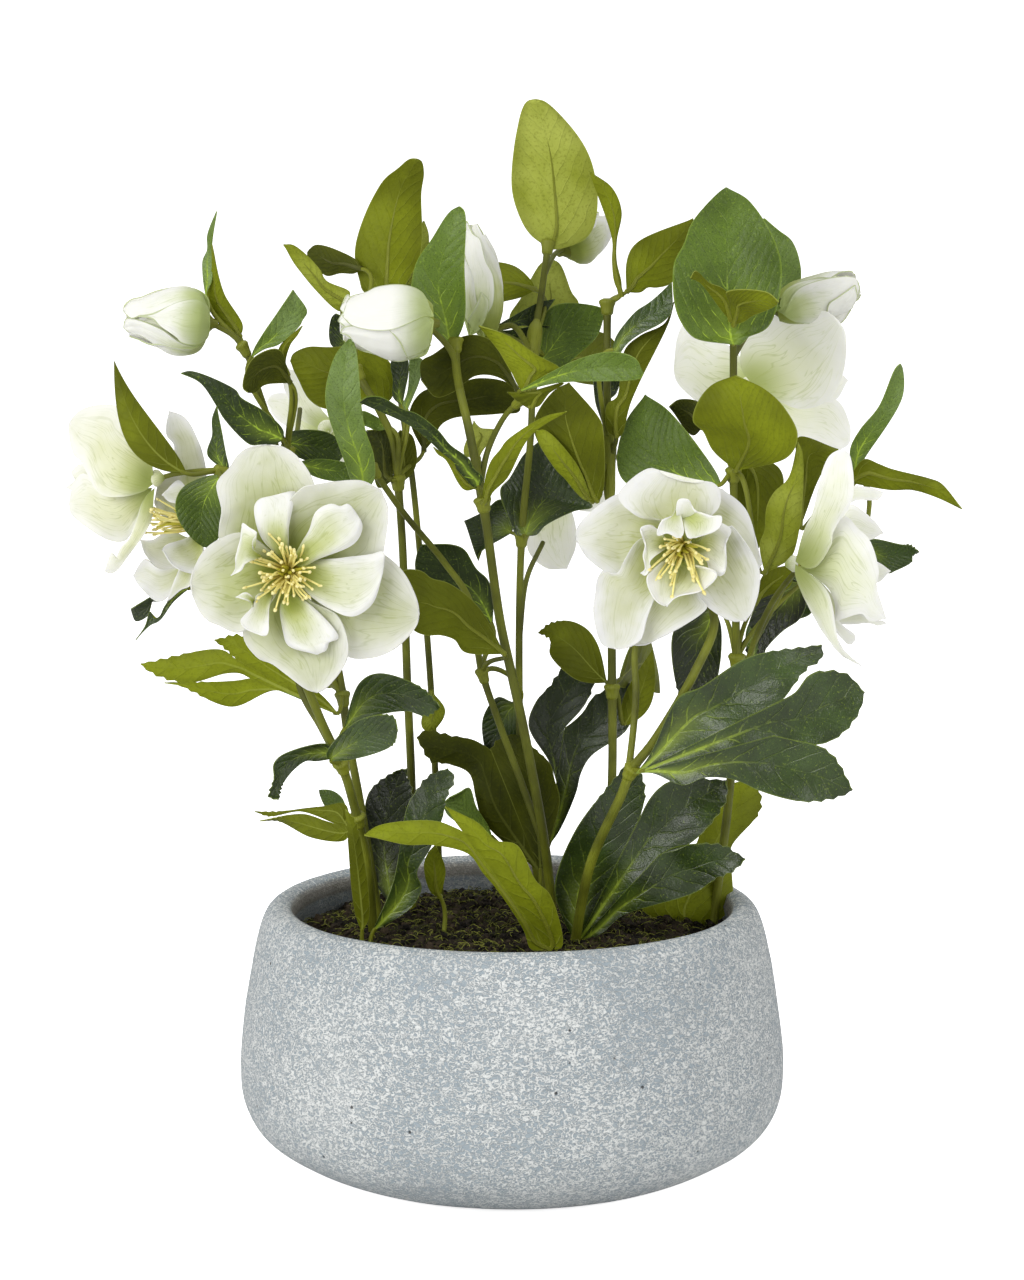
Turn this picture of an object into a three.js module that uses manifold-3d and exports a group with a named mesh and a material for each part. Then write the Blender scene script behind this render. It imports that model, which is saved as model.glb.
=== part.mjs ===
// A potted hellebore: slender stems, leaf sprays on collars, white blossoms and buds, soil and a round pot.
// Millimetres, +Z up, +Y away from the front. The origin is the middle of the pot's flat base.
import * as THREE from "three";
import { mergeVertices } from "three/addons/utils/BufferGeometryUtils.js";
import Module from "manifold-3d";

const wasm = await Module();
wasm.setup();

// ---- driving dimensions -------------------------------------------------------------------------
const POT_HEIGHT = 117;
const POT_RADIUS = 115.5;
const POT_BASE_RADIUS = 56;
const POT_MOUTH_RADIUS = 92;
const POT_SEGMENTS = 28;
const SOIL_TOP = 106;
const FIT_GAP = 0.5;
const SMOOTHING = 0.2;
const LEAF_THICKNESS = 0.9;
const PETAL_THICKNESS = 0.9;
const STALK_RADIUS = 1.1;
const STALK_BULK = 1.8;
const TIP_RADIUS = 0.5;
const COLLAR_WALL = 1.5;
const COLLAR_LENGTH = 7;
const LONG_COLLAR = 12;
const STEM_SIDES = 6;
const STEM_STEPS = 1.5;
const COLLAR_SIDES = 6;

// Places on the plant are given as seen by an eye in front of the pot. The eye looks at a point on the
// pot's axis, and [right, up, back] means: right and up on the pane through that point, square to the
// line of sight, then along the same ray to the depth back, which is a plain Y coordinate.
const EYE_DISTANCE = 1900;
const EYE_TILT = THREE.MathUtils.degToRad(8.9);
const AIM_HEIGHT = 229;
const forward = new THREE.Vector3(0, Math.cos(EYE_TILT), -Math.sin(EYE_TILT));
const upward = new THREE.Vector3(0, Math.sin(EYE_TILT), Math.cos(EYE_TILT));
const eye = new THREE.Vector3(0, 0, AIM_HEIGHT).addScaledVector(forward, -EYE_DISTANCE);

function sight([right, up, back]) {
  const ray = forward.clone().multiplyScalar(EYE_DISTANCE).addScaledVector(upward, up);
  ray.x += right;
  return eye.clone().addScaledVector(ray, (back - eye.y) / ray.y);
}

// ---- colours and finishes -----------------------------------------------------------------------
const finish = (color, roughness) =>
  new THREE.MeshStandardMaterial({ color, roughness, metalness: 0 });
const glaze = finish(0xc3cacd, 0.9);
const earth = finish(0x2a221b, 1.0);
const stemGreen = finish(0x7d8438, 0.6);
const leafGreen = finish(0x4c6b33, 0.55);
const leafDark = finish(0x2f4a2e, 0.5);
const petalWhite = finish(0xf0f1e8, 0.6);
const petalGreen = finish(0xdde6c0, 0.6);
const stamenYellow = finish(0xe3cf74, 0.7);

// ---- solids -------------------------------------------------------------------------------------
function solidOf(geometry) {
  const bare = geometry.clone();
  for (const name of Object.keys(bare.attributes)) {
    if (name !== "position") bare.deleteAttribute(name);
  }
  const merged = mergeVertices(bare, 1e-4);
  return new wasm.Manifold(
    new wasm.Mesh({
      numProp: 3,
      vertProperties: new Float32Array(merged.attributes.position.array),
      triVerts: new Uint32Array(merged.index.array),
    }),
  );
}

function geometryOf(solid) {
  const mesh = solid.getMesh();
  const geometry = new THREE.BufferGeometry();
  geometry.setAttribute("position", new THREE.BufferAttribute(mesh.vertProperties, 3));
  geometry.setIndex(new THREE.BufferAttribute(mesh.triVerts, 1));
  return geometry.toNonIndexed();
}

const join = (solids) => solids.reduce((all, next) => all.add(next));

function largestBody(solid) {
  return solid.decompose().sort((a, b) => b.volume() - a.volume())[0];
}

// A closed strip: rows of points across, one face up and one face down, with walls round the edge.
function stripSolid(rows, thickness) {
  const across = rows[0].length;
  const points = [];
  for (const side of [0.5, -0.5]) {
    for (const row of rows) {
      for (const { place, normal, bulk = 1 } of row) {
        points.push(place.clone().addScaledVector(normal, side * thickness * bulk));
      }
    }
  }
  const under = rows.length * across;
  const faces = [];
  const quad = (a, b, c, d) => faces.push(a, b, c, a, c, d);
  for (let i = 0; i + 1 < rows.length; i++) {
    for (let j = 0; j + 1 < across; j++) {
      const a = i * across + j;
      quad(a, a + across, a + across + 1, a + 1);
      quad(under + a, under + a + 1, under + a + across + 1, under + a + across);
    }
    const left = i * across;
    const right = left + across - 1;
    quad(left, under + left, under + left + across, left + across);
    quad(right, right + across, under + right + across, under + right);
  }
  const last = (rows.length - 1) * across;
  for (let j = 0; j + 1 < across; j++) {
    quad(j, j + 1, under + j + 1, under + j);
    quad(last + j, under + last + j, under + last + j + 1, last + j + 1);
  }
  return closedSolid(points, faces);
}

function closedSolid(points, faces) {
  const geometry = new THREE.BufferGeometry().setFromPoints(points);
  geometry.setIndex(faces);
  const solid = solidOf(geometry);
  if (solid.volume() > 0) return solid;
  const turned = [];
  for (let i = 0; i < faces.length; i += 3) turned.push(faces[i], faces[i + 2], faces[i + 1]);
  geometry.setIndex(turned);
  return solidOf(geometry);
}

// A round rod along the smooth curve through the points; grow makes it thicker and longer.
function rodSolid(points, radius, grow, steps, sides = STEM_SIDES) {
  const curve = new THREE.CatmullRomCurve3(points);
  const ends = [points[0].clone(), points[points.length - 1].clone()];
  ends[0].addScaledVector(curve.getTangent(0), -grow);
  ends[1].addScaledVector(curve.getTangent(1), grow);
  const extrudePath = new THREE.CatmullRomCurve3([ends[0], ...points.slice(1, -1), ends[1]]);
  const ring = [];
  for (let i = 0; i < sides; i++) {
    const angle = (2 * Math.PI * i) / sides;
    ring.push(new THREE.Vector2(Math.cos(angle), Math.sin(angle)).multiplyScalar(radius + grow));
  }
  return solidOf(
    new THREE.ExtrudeGeometry(new THREE.Shape(ring), { steps, extrudePath, bevelEnabled: false }),
  );
}

// ---- blades: leaves, sepals and petals ----------------------------------------------------------
// Half width, as a share of the full width, at each share t of the length.
const OVAL = (t) => 0.5 * Math.sin(Math.PI * t ** 0.85) ** 0.75;
const LANCE = (t) => 0.5 * Math.sin(Math.PI * t ** 0.8);
const BROAD = (t) => 0.5 * Math.sin(Math.PI * t ** 0.9) ** 0.6;
const SEPAL = (t) => 0.5 * Math.sin(Math.PI * Math.min(1, t ** 1.35) * 0.985) ** 0.6;
const LOBED = "lobed";

// The spine runs through three points; its frame turns about the chord by the roll angles.
function spineOf(base, middle, tip) {
  const pull = middle.clone().multiplyScalar(2).addScaledVector(base, -0.5).addScaledVector(tip, -0.5);
  return new THREE.QuadraticBezierCurve3(base, pull, tip);
}

function frameOn(spine, t, facing, roll) {
  const chord = spine.v2.clone().sub(spine.v0).normalize();
  const up = facing.clone().addScaledVector(chord, -facing.dot(chord)).normalize();
  up.applyAxisAngle(chord, roll);
  const along = spine.getTangent(THREE.MathUtils.clamp(t, 0, 1));
  const side = new THREE.Vector3().crossVectors(along, up).normalize();
  return { along, side, up: new THREE.Vector3().crossVectors(side, along) };
}

// The row of points across a leaf stalk where it leaves its stem.
function stalkRow(from, to, facing, columns, grow) {
  const along = to.clone().sub(from).normalize();
  const side = new THREE.Vector3().crossVectors(along, facing).normalize();
  const up = new THREE.Vector3().crossVectors(side, along);
  const row = [];
  for (let j = 0; j <= columns; j++) {
    const v = (2 * j) / columns - 1;
    const place = from.clone().addScaledVector(side, v * (STALK_RADIUS + grow));
    row.push({ place, normal: up, bulk: STALK_BULK });
  }
  return row;
}

// One blade. fold lifts both halves; grow widens and thickens it, to cut a clearance for it.
function bladeSolid(blade, grow = 0) {
  const { outline, base, middle, tip, width, facing, roll, fold, rows, columns, thickness } = blade;
  const spine = spineOf(base, middle, tip);
  const grid = blade.from ? [stalkRow(blade.from, base, facing, columns, grow)] : [];
  for (let i = 0; i <= rows; i++) {
    const t = i / rows;
    const at = frameOn(spine, t, facing, THREE.MathUtils.lerp(roll[0], roll[1], t));
    const half = Math.max(outline(t) * width, i === 0 ? STALK_RADIUS : TIP_RADIUS) + grow;
    const place = spine.getPoint(t).addScaledVector(at.along, (2 * t - 1) * grow);
    const row = [];
    for (let j = 0; j <= columns; j++) {
      const v = (2 * j) / columns - 1;
      const point = place
        .clone()
        .addScaledVector(at.side, v * half * Math.cos(fold))
        .addScaledVector(at.up, Math.abs(v) * half * Math.sin(fold));
      row.push({ place: point, normal: at.up, bulk: i === 0 ? STALK_BULK : 1 });
    }
    grid.push(row);
  }
  return stripSolid(grid, thickness + 2 * grow);
}

const LOBE_ROOT = 0.22;
const LOBE_START = 1.5;

// A lobed blade: its edge, seen from the base, swings out along each lobe [degrees, length, half width].
function lobedSolid(blade, grow = 0) {
  const { base, middle, tip, facing, roll, fold, lobes } = blade;
  const spine = spineOf(base, middle, tip);
  const length = tip.distanceTo(base);
  const turns = [];
  for (const [turn, , half] of lobes) {
    for (const share of [-1, -0.55, 0, 0.55, 1]) turns.push(turn + share * half);
  }
  turns.sort((a, b) => a - b);
  const spread = turns.filter((turn, i) => i === 0 || turn - turns[i - 1] > 1.5);
  const reach = (turn) =>
    Math.max(
      LOBE_ROOT * length,
      ...lobes.map(([middleTurn, long, half]) => {
        const off = Math.abs(turn - middleTurn) / half;
        return off < 1 ? long * (1 - off ** 2.2) ** 0.5 : 0;
      }),
    );
  const onBlade = (turn, r) => {
    const angle = THREE.MathUtils.degToRad(turn);
    const x = (r * Math.cos(angle)) / length;
    const y = -r * Math.sin(angle);
    const at = frameOn(spine, x, facing, roll);
    const place = spine.getPoint(THREE.MathUtils.clamp(x, 0, 1));
    const past = x - THREE.MathUtils.clamp(x, 0, 1);
    place.addScaledVector(at.along, past * length);
    place.addScaledVector(at.side, y * Math.cos(fold));
    place.addScaledVector(at.up, Math.abs(y) * Math.sin(fold));
    return { place, normal: at.up };
  };
  const rows = [0, 0.5, 1].map((share) =>
    spread.map((turn) => onBlade(turn, Math.max(share * reach(turn), LOBE_START) + grow)),
  );
  return stripSolid(rows, LEAF_THICKNESS + 2 * grow);
}

// ---- the sub-parts ------------------------------------------------------------------------------
// Each sub-part is a function of grow: 0 gives its solid, and FIT_GAP gives the room it needs.
const parts = [];
const addPart = (name, material, build) => parts.push({ name, material, build });

// Pot: [radius, height] down the outside from the lip, and up the inside.
const potOutside = [
  [POT_BASE_RADIUS, 0],
  [78, 4.5],
  [95, 12],
  [108, 21.5],
  [114, 33],
  [POT_RADIUS, 47],
  [114.5, 63],
  [111.5, 84],
  [106, 109],
  [102.5, 115.2],
  [98, POT_HEIGHT],
  [94, 115.6],
];
const potInside = [
  [POT_MOUTH_RADIUS, 111],
  [97, 90],
  [101, 58],
  [97, 31],
  [79, 18],
  [0, 15],
];
const turned = (profile) =>
  new THREE.LatheGeometry(
    profile.map(([r, z]) => new THREE.Vector2(r, z)),
    POT_SEGMENTS,
  ).rotateX(Math.PI / 2);
addPart("pot", glaze, () => solidOf(turned([[0, 0], ...potOutside, ...potInside])));

// Stems: a route of [right, up, back] points with a radius, and the thinner branches joined to it.
const stems = {
  stem_front_left: {
    radius: 2.1,
    route: [
      [-58, -126, -8], [-61, -92, -18], [-67, -67, -30], [-71, -54, -38], [-81, -32, -48],
      [-90, -8, -58], [-93, 15, -62], [-93, 28, -71.5],
    ],
    branches: [
      {
        radius: 1.5,
        route: [
          [-71, -57, -38], [-80, -37, -34], [-89, -20, -28], [-93, 17, -16], [-96, 50, -8],
          [-99, 81, -6], [-107, 107, -2], [-110, 117, 0], [-116, 127, 0], [-126, 133, 0],
        ],
      },
      {
        radius: 1.3,
        route: [
          [-96, 59, -8], [-108, 66, -20], [-122, 71, -34], [-140, 70, -36], [-148, 68, -34],
        ],
      },
      { radius: 1.3, route: [[-94, 34, -12], [-114, 46, -24], [-126, 49, -26]] },
    ],
  },
  stem_left: {
    radius: 1.9,
    route: [
      [-55, -122, 4], [-64, -67, -4], [-69, -40, -8], [-73, -12, -6], [-81, 17, 2], [-89, 46, 2],
      [-94, 78, -4],
    ],
    branches: [{ radius: 1.3, route: [[-91, 56, 1], [-91, 78, 24], [-89, 97, 49.5]] }],
  },
  stem_middle_left: {
    radius: 2.0,
    route: [
      [-42, -116, 34], [-42, -67, 28], [-44, -17, 18], [-46, 40, 4], [-48, 67, 0], [-50, 84, 0],
      [-55, 95, 0], [-65, 112, 4],
    ],
  },
  stem_back_left: {
    radius: 1.6,
    route: [
      [-30, -109, 56], [-34, -21, 36], [-39, 40, 22], [-42, 69, 18], [-45, 89, 16], [-49, 118, 22],
      [-50, 146, 30],
    ],
  },
  stem_middle: {
    radius: 2.2,
    route: [
      [18, -126, 0], [14, -88, -6], [5, -38, -12], [0, -15, -15], [-5, 8, -16], [-11, 50, -16],
      [-14, 67, -14], [-18, 88, -10], [-23, 111, -5], [-24, 124, -2],
    ],
    branches: [
      { radius: 1.4, route: [[-13, 63, -14], [-10, 80, -8], [-3, 94, -10], [3, 100, -14]] },
      { radius: 1.5, route: [[-22, 105, -6], [-25, 120, -12], [-34, 131, -24]] },
      {
        radius: 1.6,
        route: [
          [14, -88, -6], [1, -52, -2], [-5, -36, 0], [-13, -12, 0], [-18, 17, 2], [-28, 32, 6],
          [-46, 54, -10], [-58, 71, -18],
        ],
      },
    ],
  },
  stem_tall: {
    radius: 1.8,
    route: [
      [14, -122, 26], [4, -50, 20], [3, -17, 20], [4, 42, 22], [8, 88, 22], [9, 124, 34],
      [12, 143, 48], [15, 165, 60],
    ],
    branches: [
      { radius: 1.3, route: [[4, 0, 20], [6, 25, 40], [13, 41, 60]] },
      { radius: 1.4, route: [[9, 118, 30], [0, 132, 30], [-11, 128, 28]] },
      { radius: 1.3, route: [[14, 153, 54], [18, 162, 68], [23, 165, 76]] },
    ],
  },
  stem_middle_right: {
    radius: 2.0,
    route: [[38, -122, 18], [42, -59, 14], [42, -17, 14], [41, 59, 12], [40, 101, 14], [40, 140, 18]],
  },
  stem_front_right: {
    radius: 2.2,
    route: [
      [26, -129, -26], [33, -94, -38], [46, -65, -52], [50, -55, -56], [60, -42, -62],
      [77, -13, -70], [85, 8, -70], [78, 26, -68], [73, 38, -75],
    ],
    branches: [
      { radius: 1.6, route: [[49, -58, -54], [52, -25, -44], [52, -2, -36], [62, 25, -20], [84, 59, -4]] },
    ],
  },
  stem_right: {
    radius: 2.0,
    route: [
      [84, -122, 16], [91, -67, 16], [94, -25, 12], [94, 8, 8], [93, 68, 2], [93, 123, -2],
      [93, 134, -4],
    ],
    branches: [
      {
        radius: 1.5,
        route: [
          [91, -63, 16], [95, -25, 0], [102, 0, -4], [110, 17, -14], [120, 30, -28],
        ],
      },
      { radius: 1.4, route: [[102, 0, -2], [121, 34, 18], [137, 57, 20], [143, 67, 14]] },
      { radius: 1.4, route: [[93, 34, 6], [99, 67, 34], [101, 101, 52]] },
      { radius: 1.3, route: [[93, 118, 0], [101, 131, 22], [112, 139, 36]] },
    ],
  },
};

// The share of a curve's length at which it passes nearest to a place.
function nearestShare(curve, place) {
  const samples = 80;
  let best = 0;
  for (let i = 0; i <= samples; i++) {
    if (curve.getPointAt(i / samples).distanceTo(place) < curve.getPointAt(best).distanceTo(place)) {
      best = i / samples;
    }
  }
  return best;
}

// The curves of a stem and its branches; each branch starts on the nearest curve before it.
function stemCurves({ route, branches = [] }) {
  const curves = [new THREE.CatmullRomCurve3(route.map(sight))];
  for (const branch of branches) {
    const points = branch.route.map(sight);
    const starts = curves.map((curve) => curve.getPointAt(nearestShare(curve, points[0])));
    starts.sort((a, b) => a.distanceTo(points[0]) - b.distanceTo(points[0]));
    points[0] = starts[0];
    curves.push(new THREE.CatmullRomCurve3(points));
  }
  return curves;
}

function stemSolid(stem, grow = 0) {
  const rods = stemCurves(stem).map(({ points }, i) => {
    const { radius } = i === 0 ? stem : stem.branches[i - 1];
    return rodSolid(points, radius, grow, Math.ceil(STEM_STEPS * points.length));
  });
  return join(rods);
}
for (const [name, stem] of Object.entries(stems)) {
  addPart(name, stemGreen, (grow) => stemSolid(stem, grow));
}

// Blossoms: centre, the way the flower looks, and its sepals and petals.
// A sepal is [clock angle, length, width, rise at the middle, rise at the tip].
const flowers = {
  front_left: {
    centre: [-93, 29, -74],
    looks: [-0.12, -1, 0.12],
    sepals: [
      [102, 54, 40, 7, 4], [44, 50, 36, 8, 8], [-23, 56, 40, 6, 2], [-79, 50, 42, 6, 3],
      [190, 41, 42, 7, 8],
    ],
    petals: [
      [99, 31, 20, 9, 12], [43, 34, 19, 8, 12], [-5, 38, 19, 8, 10], [-72, 34, 21, 8, 10],
      [134, 24, 9, 12, 16], [222, 27, 16, 10, 14],
    ],
    stamens: 13,
  },
  front_right: {
    centre: [72, 40, -78],
    looks: [-0.15, -1, -0.1],
    sepals: [
      [171, 45, 40, 8, 6], [116, 36, 34, 9, 8], [64, 31, 34, 10, 12], [-11, 34, 38, 10, 12],
      [-50, 41, 34, 8, 6], [236, 52, 44, 6, 2],
    ],
    petals: [
      [105, 19, 14, 12, 18], [40, 19, 14, 12, 18], [180, 19, 18, 10, 14], [-5, 19, 16, 12, 16],
      [262, 25, 26, 8, 14],
    ],
    stamens: 14,
  },
  left_away: {
    centre: [-149, 68, -34],
    looks: [-0.85, 0.4, -0.1],
    sepals: [
      [95, 42, 36, 14, 18], [20, 42, 34, 14, 18], [-55, 42, 34, 14, 18], [235, 42, 34, 14, 18],
      [165, 42, 34, 14, 18],
    ],
  },
  left_side: {
    centre: [-129, 49, -30],
    looks: [-0.75, -0.6, -0.2],
    sepals: [
      [100, 36, 26, 8, 10], [28, 34, 26, 8, 10], [-44, 34, 26, 12, 18], [-116, 34, 26, 12, 18],
      [172, 34, 26, 8, 10],
    ],
    stamens: 11,
  },
  back_right: {
    centre: [100, 107, 62],
    looks: [0.15, 0.95, 0.2],
    sepals: [
      [80, 38, 38, 8, 8], [20, 42, 38, 8, 8], [-50, 42, 38, 8, 8], [215, 36, 36, 8, 8],
      [150, 36, 36, 8, 8],
    ],
  },
  right_side: {
    centre: [119, 30, -30],
    looks: [0.9, -0.35, 0.05],
    sepals: [
      [95, 52, 36, 18, 22], [25, 46, 36, 18, 22], [-45, 46, 36, 18, 22], [-115, 46, 36, 18, 22],
      [165, 46, 36, 18, 22],
    ],
    stamens: 11,
  },
  back_left: {
    centre: [-89, 99, 50],
    looks: [-0.3, 0.9, 0.3],
    sepals: [
      [90, 34, 32, 8, 8], [18, 34, 32, 8, 8], [-54, 34, 32, 8, 8], [-126, 34, 32, 8, 8],
      [162, 34, 32, 8, 8],
    ],
  },
  back_middle: {
    centre: [14, 42, 62],
    looks: [0.35, 0.9, -0.1],
    sepals: [
      [90, 32, 30, 8, 8], [18, 32, 30, 8, 8], [-54, 32, 30, 8, 8], [-126, 32, 30, 8, 8],
      [162, 32, 30, 8, 8],
    ],
  },
};

function flowerFrame({ centre, looks }) {
  const axis = new THREE.Vector3(...looks).normalize();
  const right = new THREE.Vector3(0, 0, 1).cross(axis).normalize();
  return { heart: sight(centre), axis, right, top: new THREE.Vector3().crossVectors(axis, right) };
}

// A ring of sepals or petals that starts at the heart of the flower.
const PETAL_LIFT = 2.5;
const DISC_THICKNESS = 2;
const DISC_RADIUS = 3.4;
const DISC_SIDES = 6;
const SEPAL_COLUMNS = 2;
function whorlSolid(flower, ring, lift, rows, grow) {
  const columns = rows > 3 ? SEPAL_COLUMNS : 1;
  const { heart, axis, right, top } = flowerFrame(flower);
  const start = heart.clone().addScaledVector(axis, lift);
  const blades = ring.map(([clock, length, width, rise, tipRise]) => {
    const angle = THREE.MathUtils.degToRad(clock);
    const out = right.clone().multiplyScalar(Math.cos(angle)).addScaledVector(top, Math.sin(angle));
    const blade = {
      outline: SEPAL,
      base: start.clone().addScaledVector(out, 1),
      middle: start.clone().addScaledVector(out, 0.5 * length).addScaledVector(axis, rise),
      tip: start.clone().addScaledVector(out, length).addScaledVector(axis, tipRise),
      width,
      facing: axis,
      roll: [0, 0],
      fold: 0.2,
      rows,
      columns,
      thickness: PETAL_THICKNESS,
    };
    return bladeSolid(blade, grow);
  });
  const disc = [-1, 1].map((end) => start.clone().addScaledVector(axis, (end * DISC_THICKNESS) / 2));
  return join([rodSolid(disc, DISC_RADIUS, grow, 1, DISC_SIDES), ...blades]);
}

const turnTo = (geometry, axis, place) =>
  geometry
    .applyQuaternion(new THREE.Quaternion().setFromUnitVectors(new THREE.Vector3(0, 1, 0), axis))
    .translate(place.x, place.y, place.z);

// The tuft of stamens stands on the heart as one cup-shaped crown; [radius, height] per reach.
const CROWN = [[0, 0], [0.25, 0], [0.55, 0.45], [0.75, 0.8], [0.35, 0.75], [0, 0.6]];
const CROWN_SIDES = 8;
function stamenSolid(flower, lift, grow) {
  const { heart, axis } = flowerFrame(flower);
  const reach = flower.stamens;
  const profile = CROWN.map(([r, z]) => new THREE.Vector2(r ? r * reach + grow : 0, z * reach));
  const crown = new THREE.LatheGeometry(profile, CROWN_SIDES);
  return solidOf(turnTo(crown, axis, heart.clone().addScaledVector(axis, lift)));
}

// The two front blossoms show inner petals and stamens, the two side ones a heart, the rest only sepals.
const STAMEN_LIFT = DISC_THICKNESS / 2 + 0.4;
for (const [name, flower] of Object.entries(flowers)) {
  const title = "flower_" + name;
  if (flower.petals) {
    addPart(title + "_sepals", petalWhite, (grow) => whorlSolid(flower, flower.sepals, 0, 4, grow));
    const petals = (grow) => whorlSolid(flower, flower.petals, PETAL_LIFT, 3, grow);
    addPart(title + "_petals", petalGreen, petals);
    const stamens = (grow) => stamenSolid(flower, PETAL_LIFT + STAMEN_LIFT, grow);
    addPart(title + "_stamens", stamenYellow, stamens);
  } else if (flower.stamens) {
    addPart(title + "_sepals", petalWhite, (grow) => whorlSolid(flower, flower.sepals, 0, 3, grow));
    addPart(title + "_heart", petalGreen, (grow) => stamenSolid(flower, STAMEN_LIFT, grow));
  } else {
    addPart(title, petalWhite, (grow) => whorlSolid(flower, flower.sepals, 0, 3, grow));
  }
}

// Buds: [foot, tip, greatest radius], an egg with a blunt mouth.
const buds = {
  bud_left: { foot: [-127, 133, 0], tip: [-163, 134, -4], radius: 14.5 },
  bud_front: { foot: [-34, 132, -24], tip: [-72, 135, -30], radius: 15.5 },
  bud_middle: { foot: [-12, 128, 28], tip: [-16, 176, 30], radius: 13 },
  bud_top: { foot: [22, 164, 76], tip: [39, 176, 90], radius: 11 },
  bud_right: { foot: [111, 139, 36], tip: [146, 149, 36], radius: 11 },
};
const EGG = [[0, 0], [0.45, 0.03], [0.8, 0.16], [1, 0.4], [0.92, 0.62], [0.62, 0.85], [0.3, 0.97], [0, 1]];
const EGG_SIDES = 8;
function budSolid({ foot, tip, radius }, grow) {
  const start = sight(foot);
  const along = sight(tip).sub(start);
  const length = along.length();
  const egg = new THREE.LatheGeometry(
    EGG.map(([r, z]) => new THREE.Vector2(r ? r * radius + grow : 0, z * (length + 2 * grow) - grow)),
    EGG_SIDES,
  );
  return solidOf(turnTo(egg, along.normalize(), start));
}
for (const [name, bud] of Object.entries(buds)) {
  addPart(name, petalWhite, (grow) => budSolid(bud, grow));
}

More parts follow.
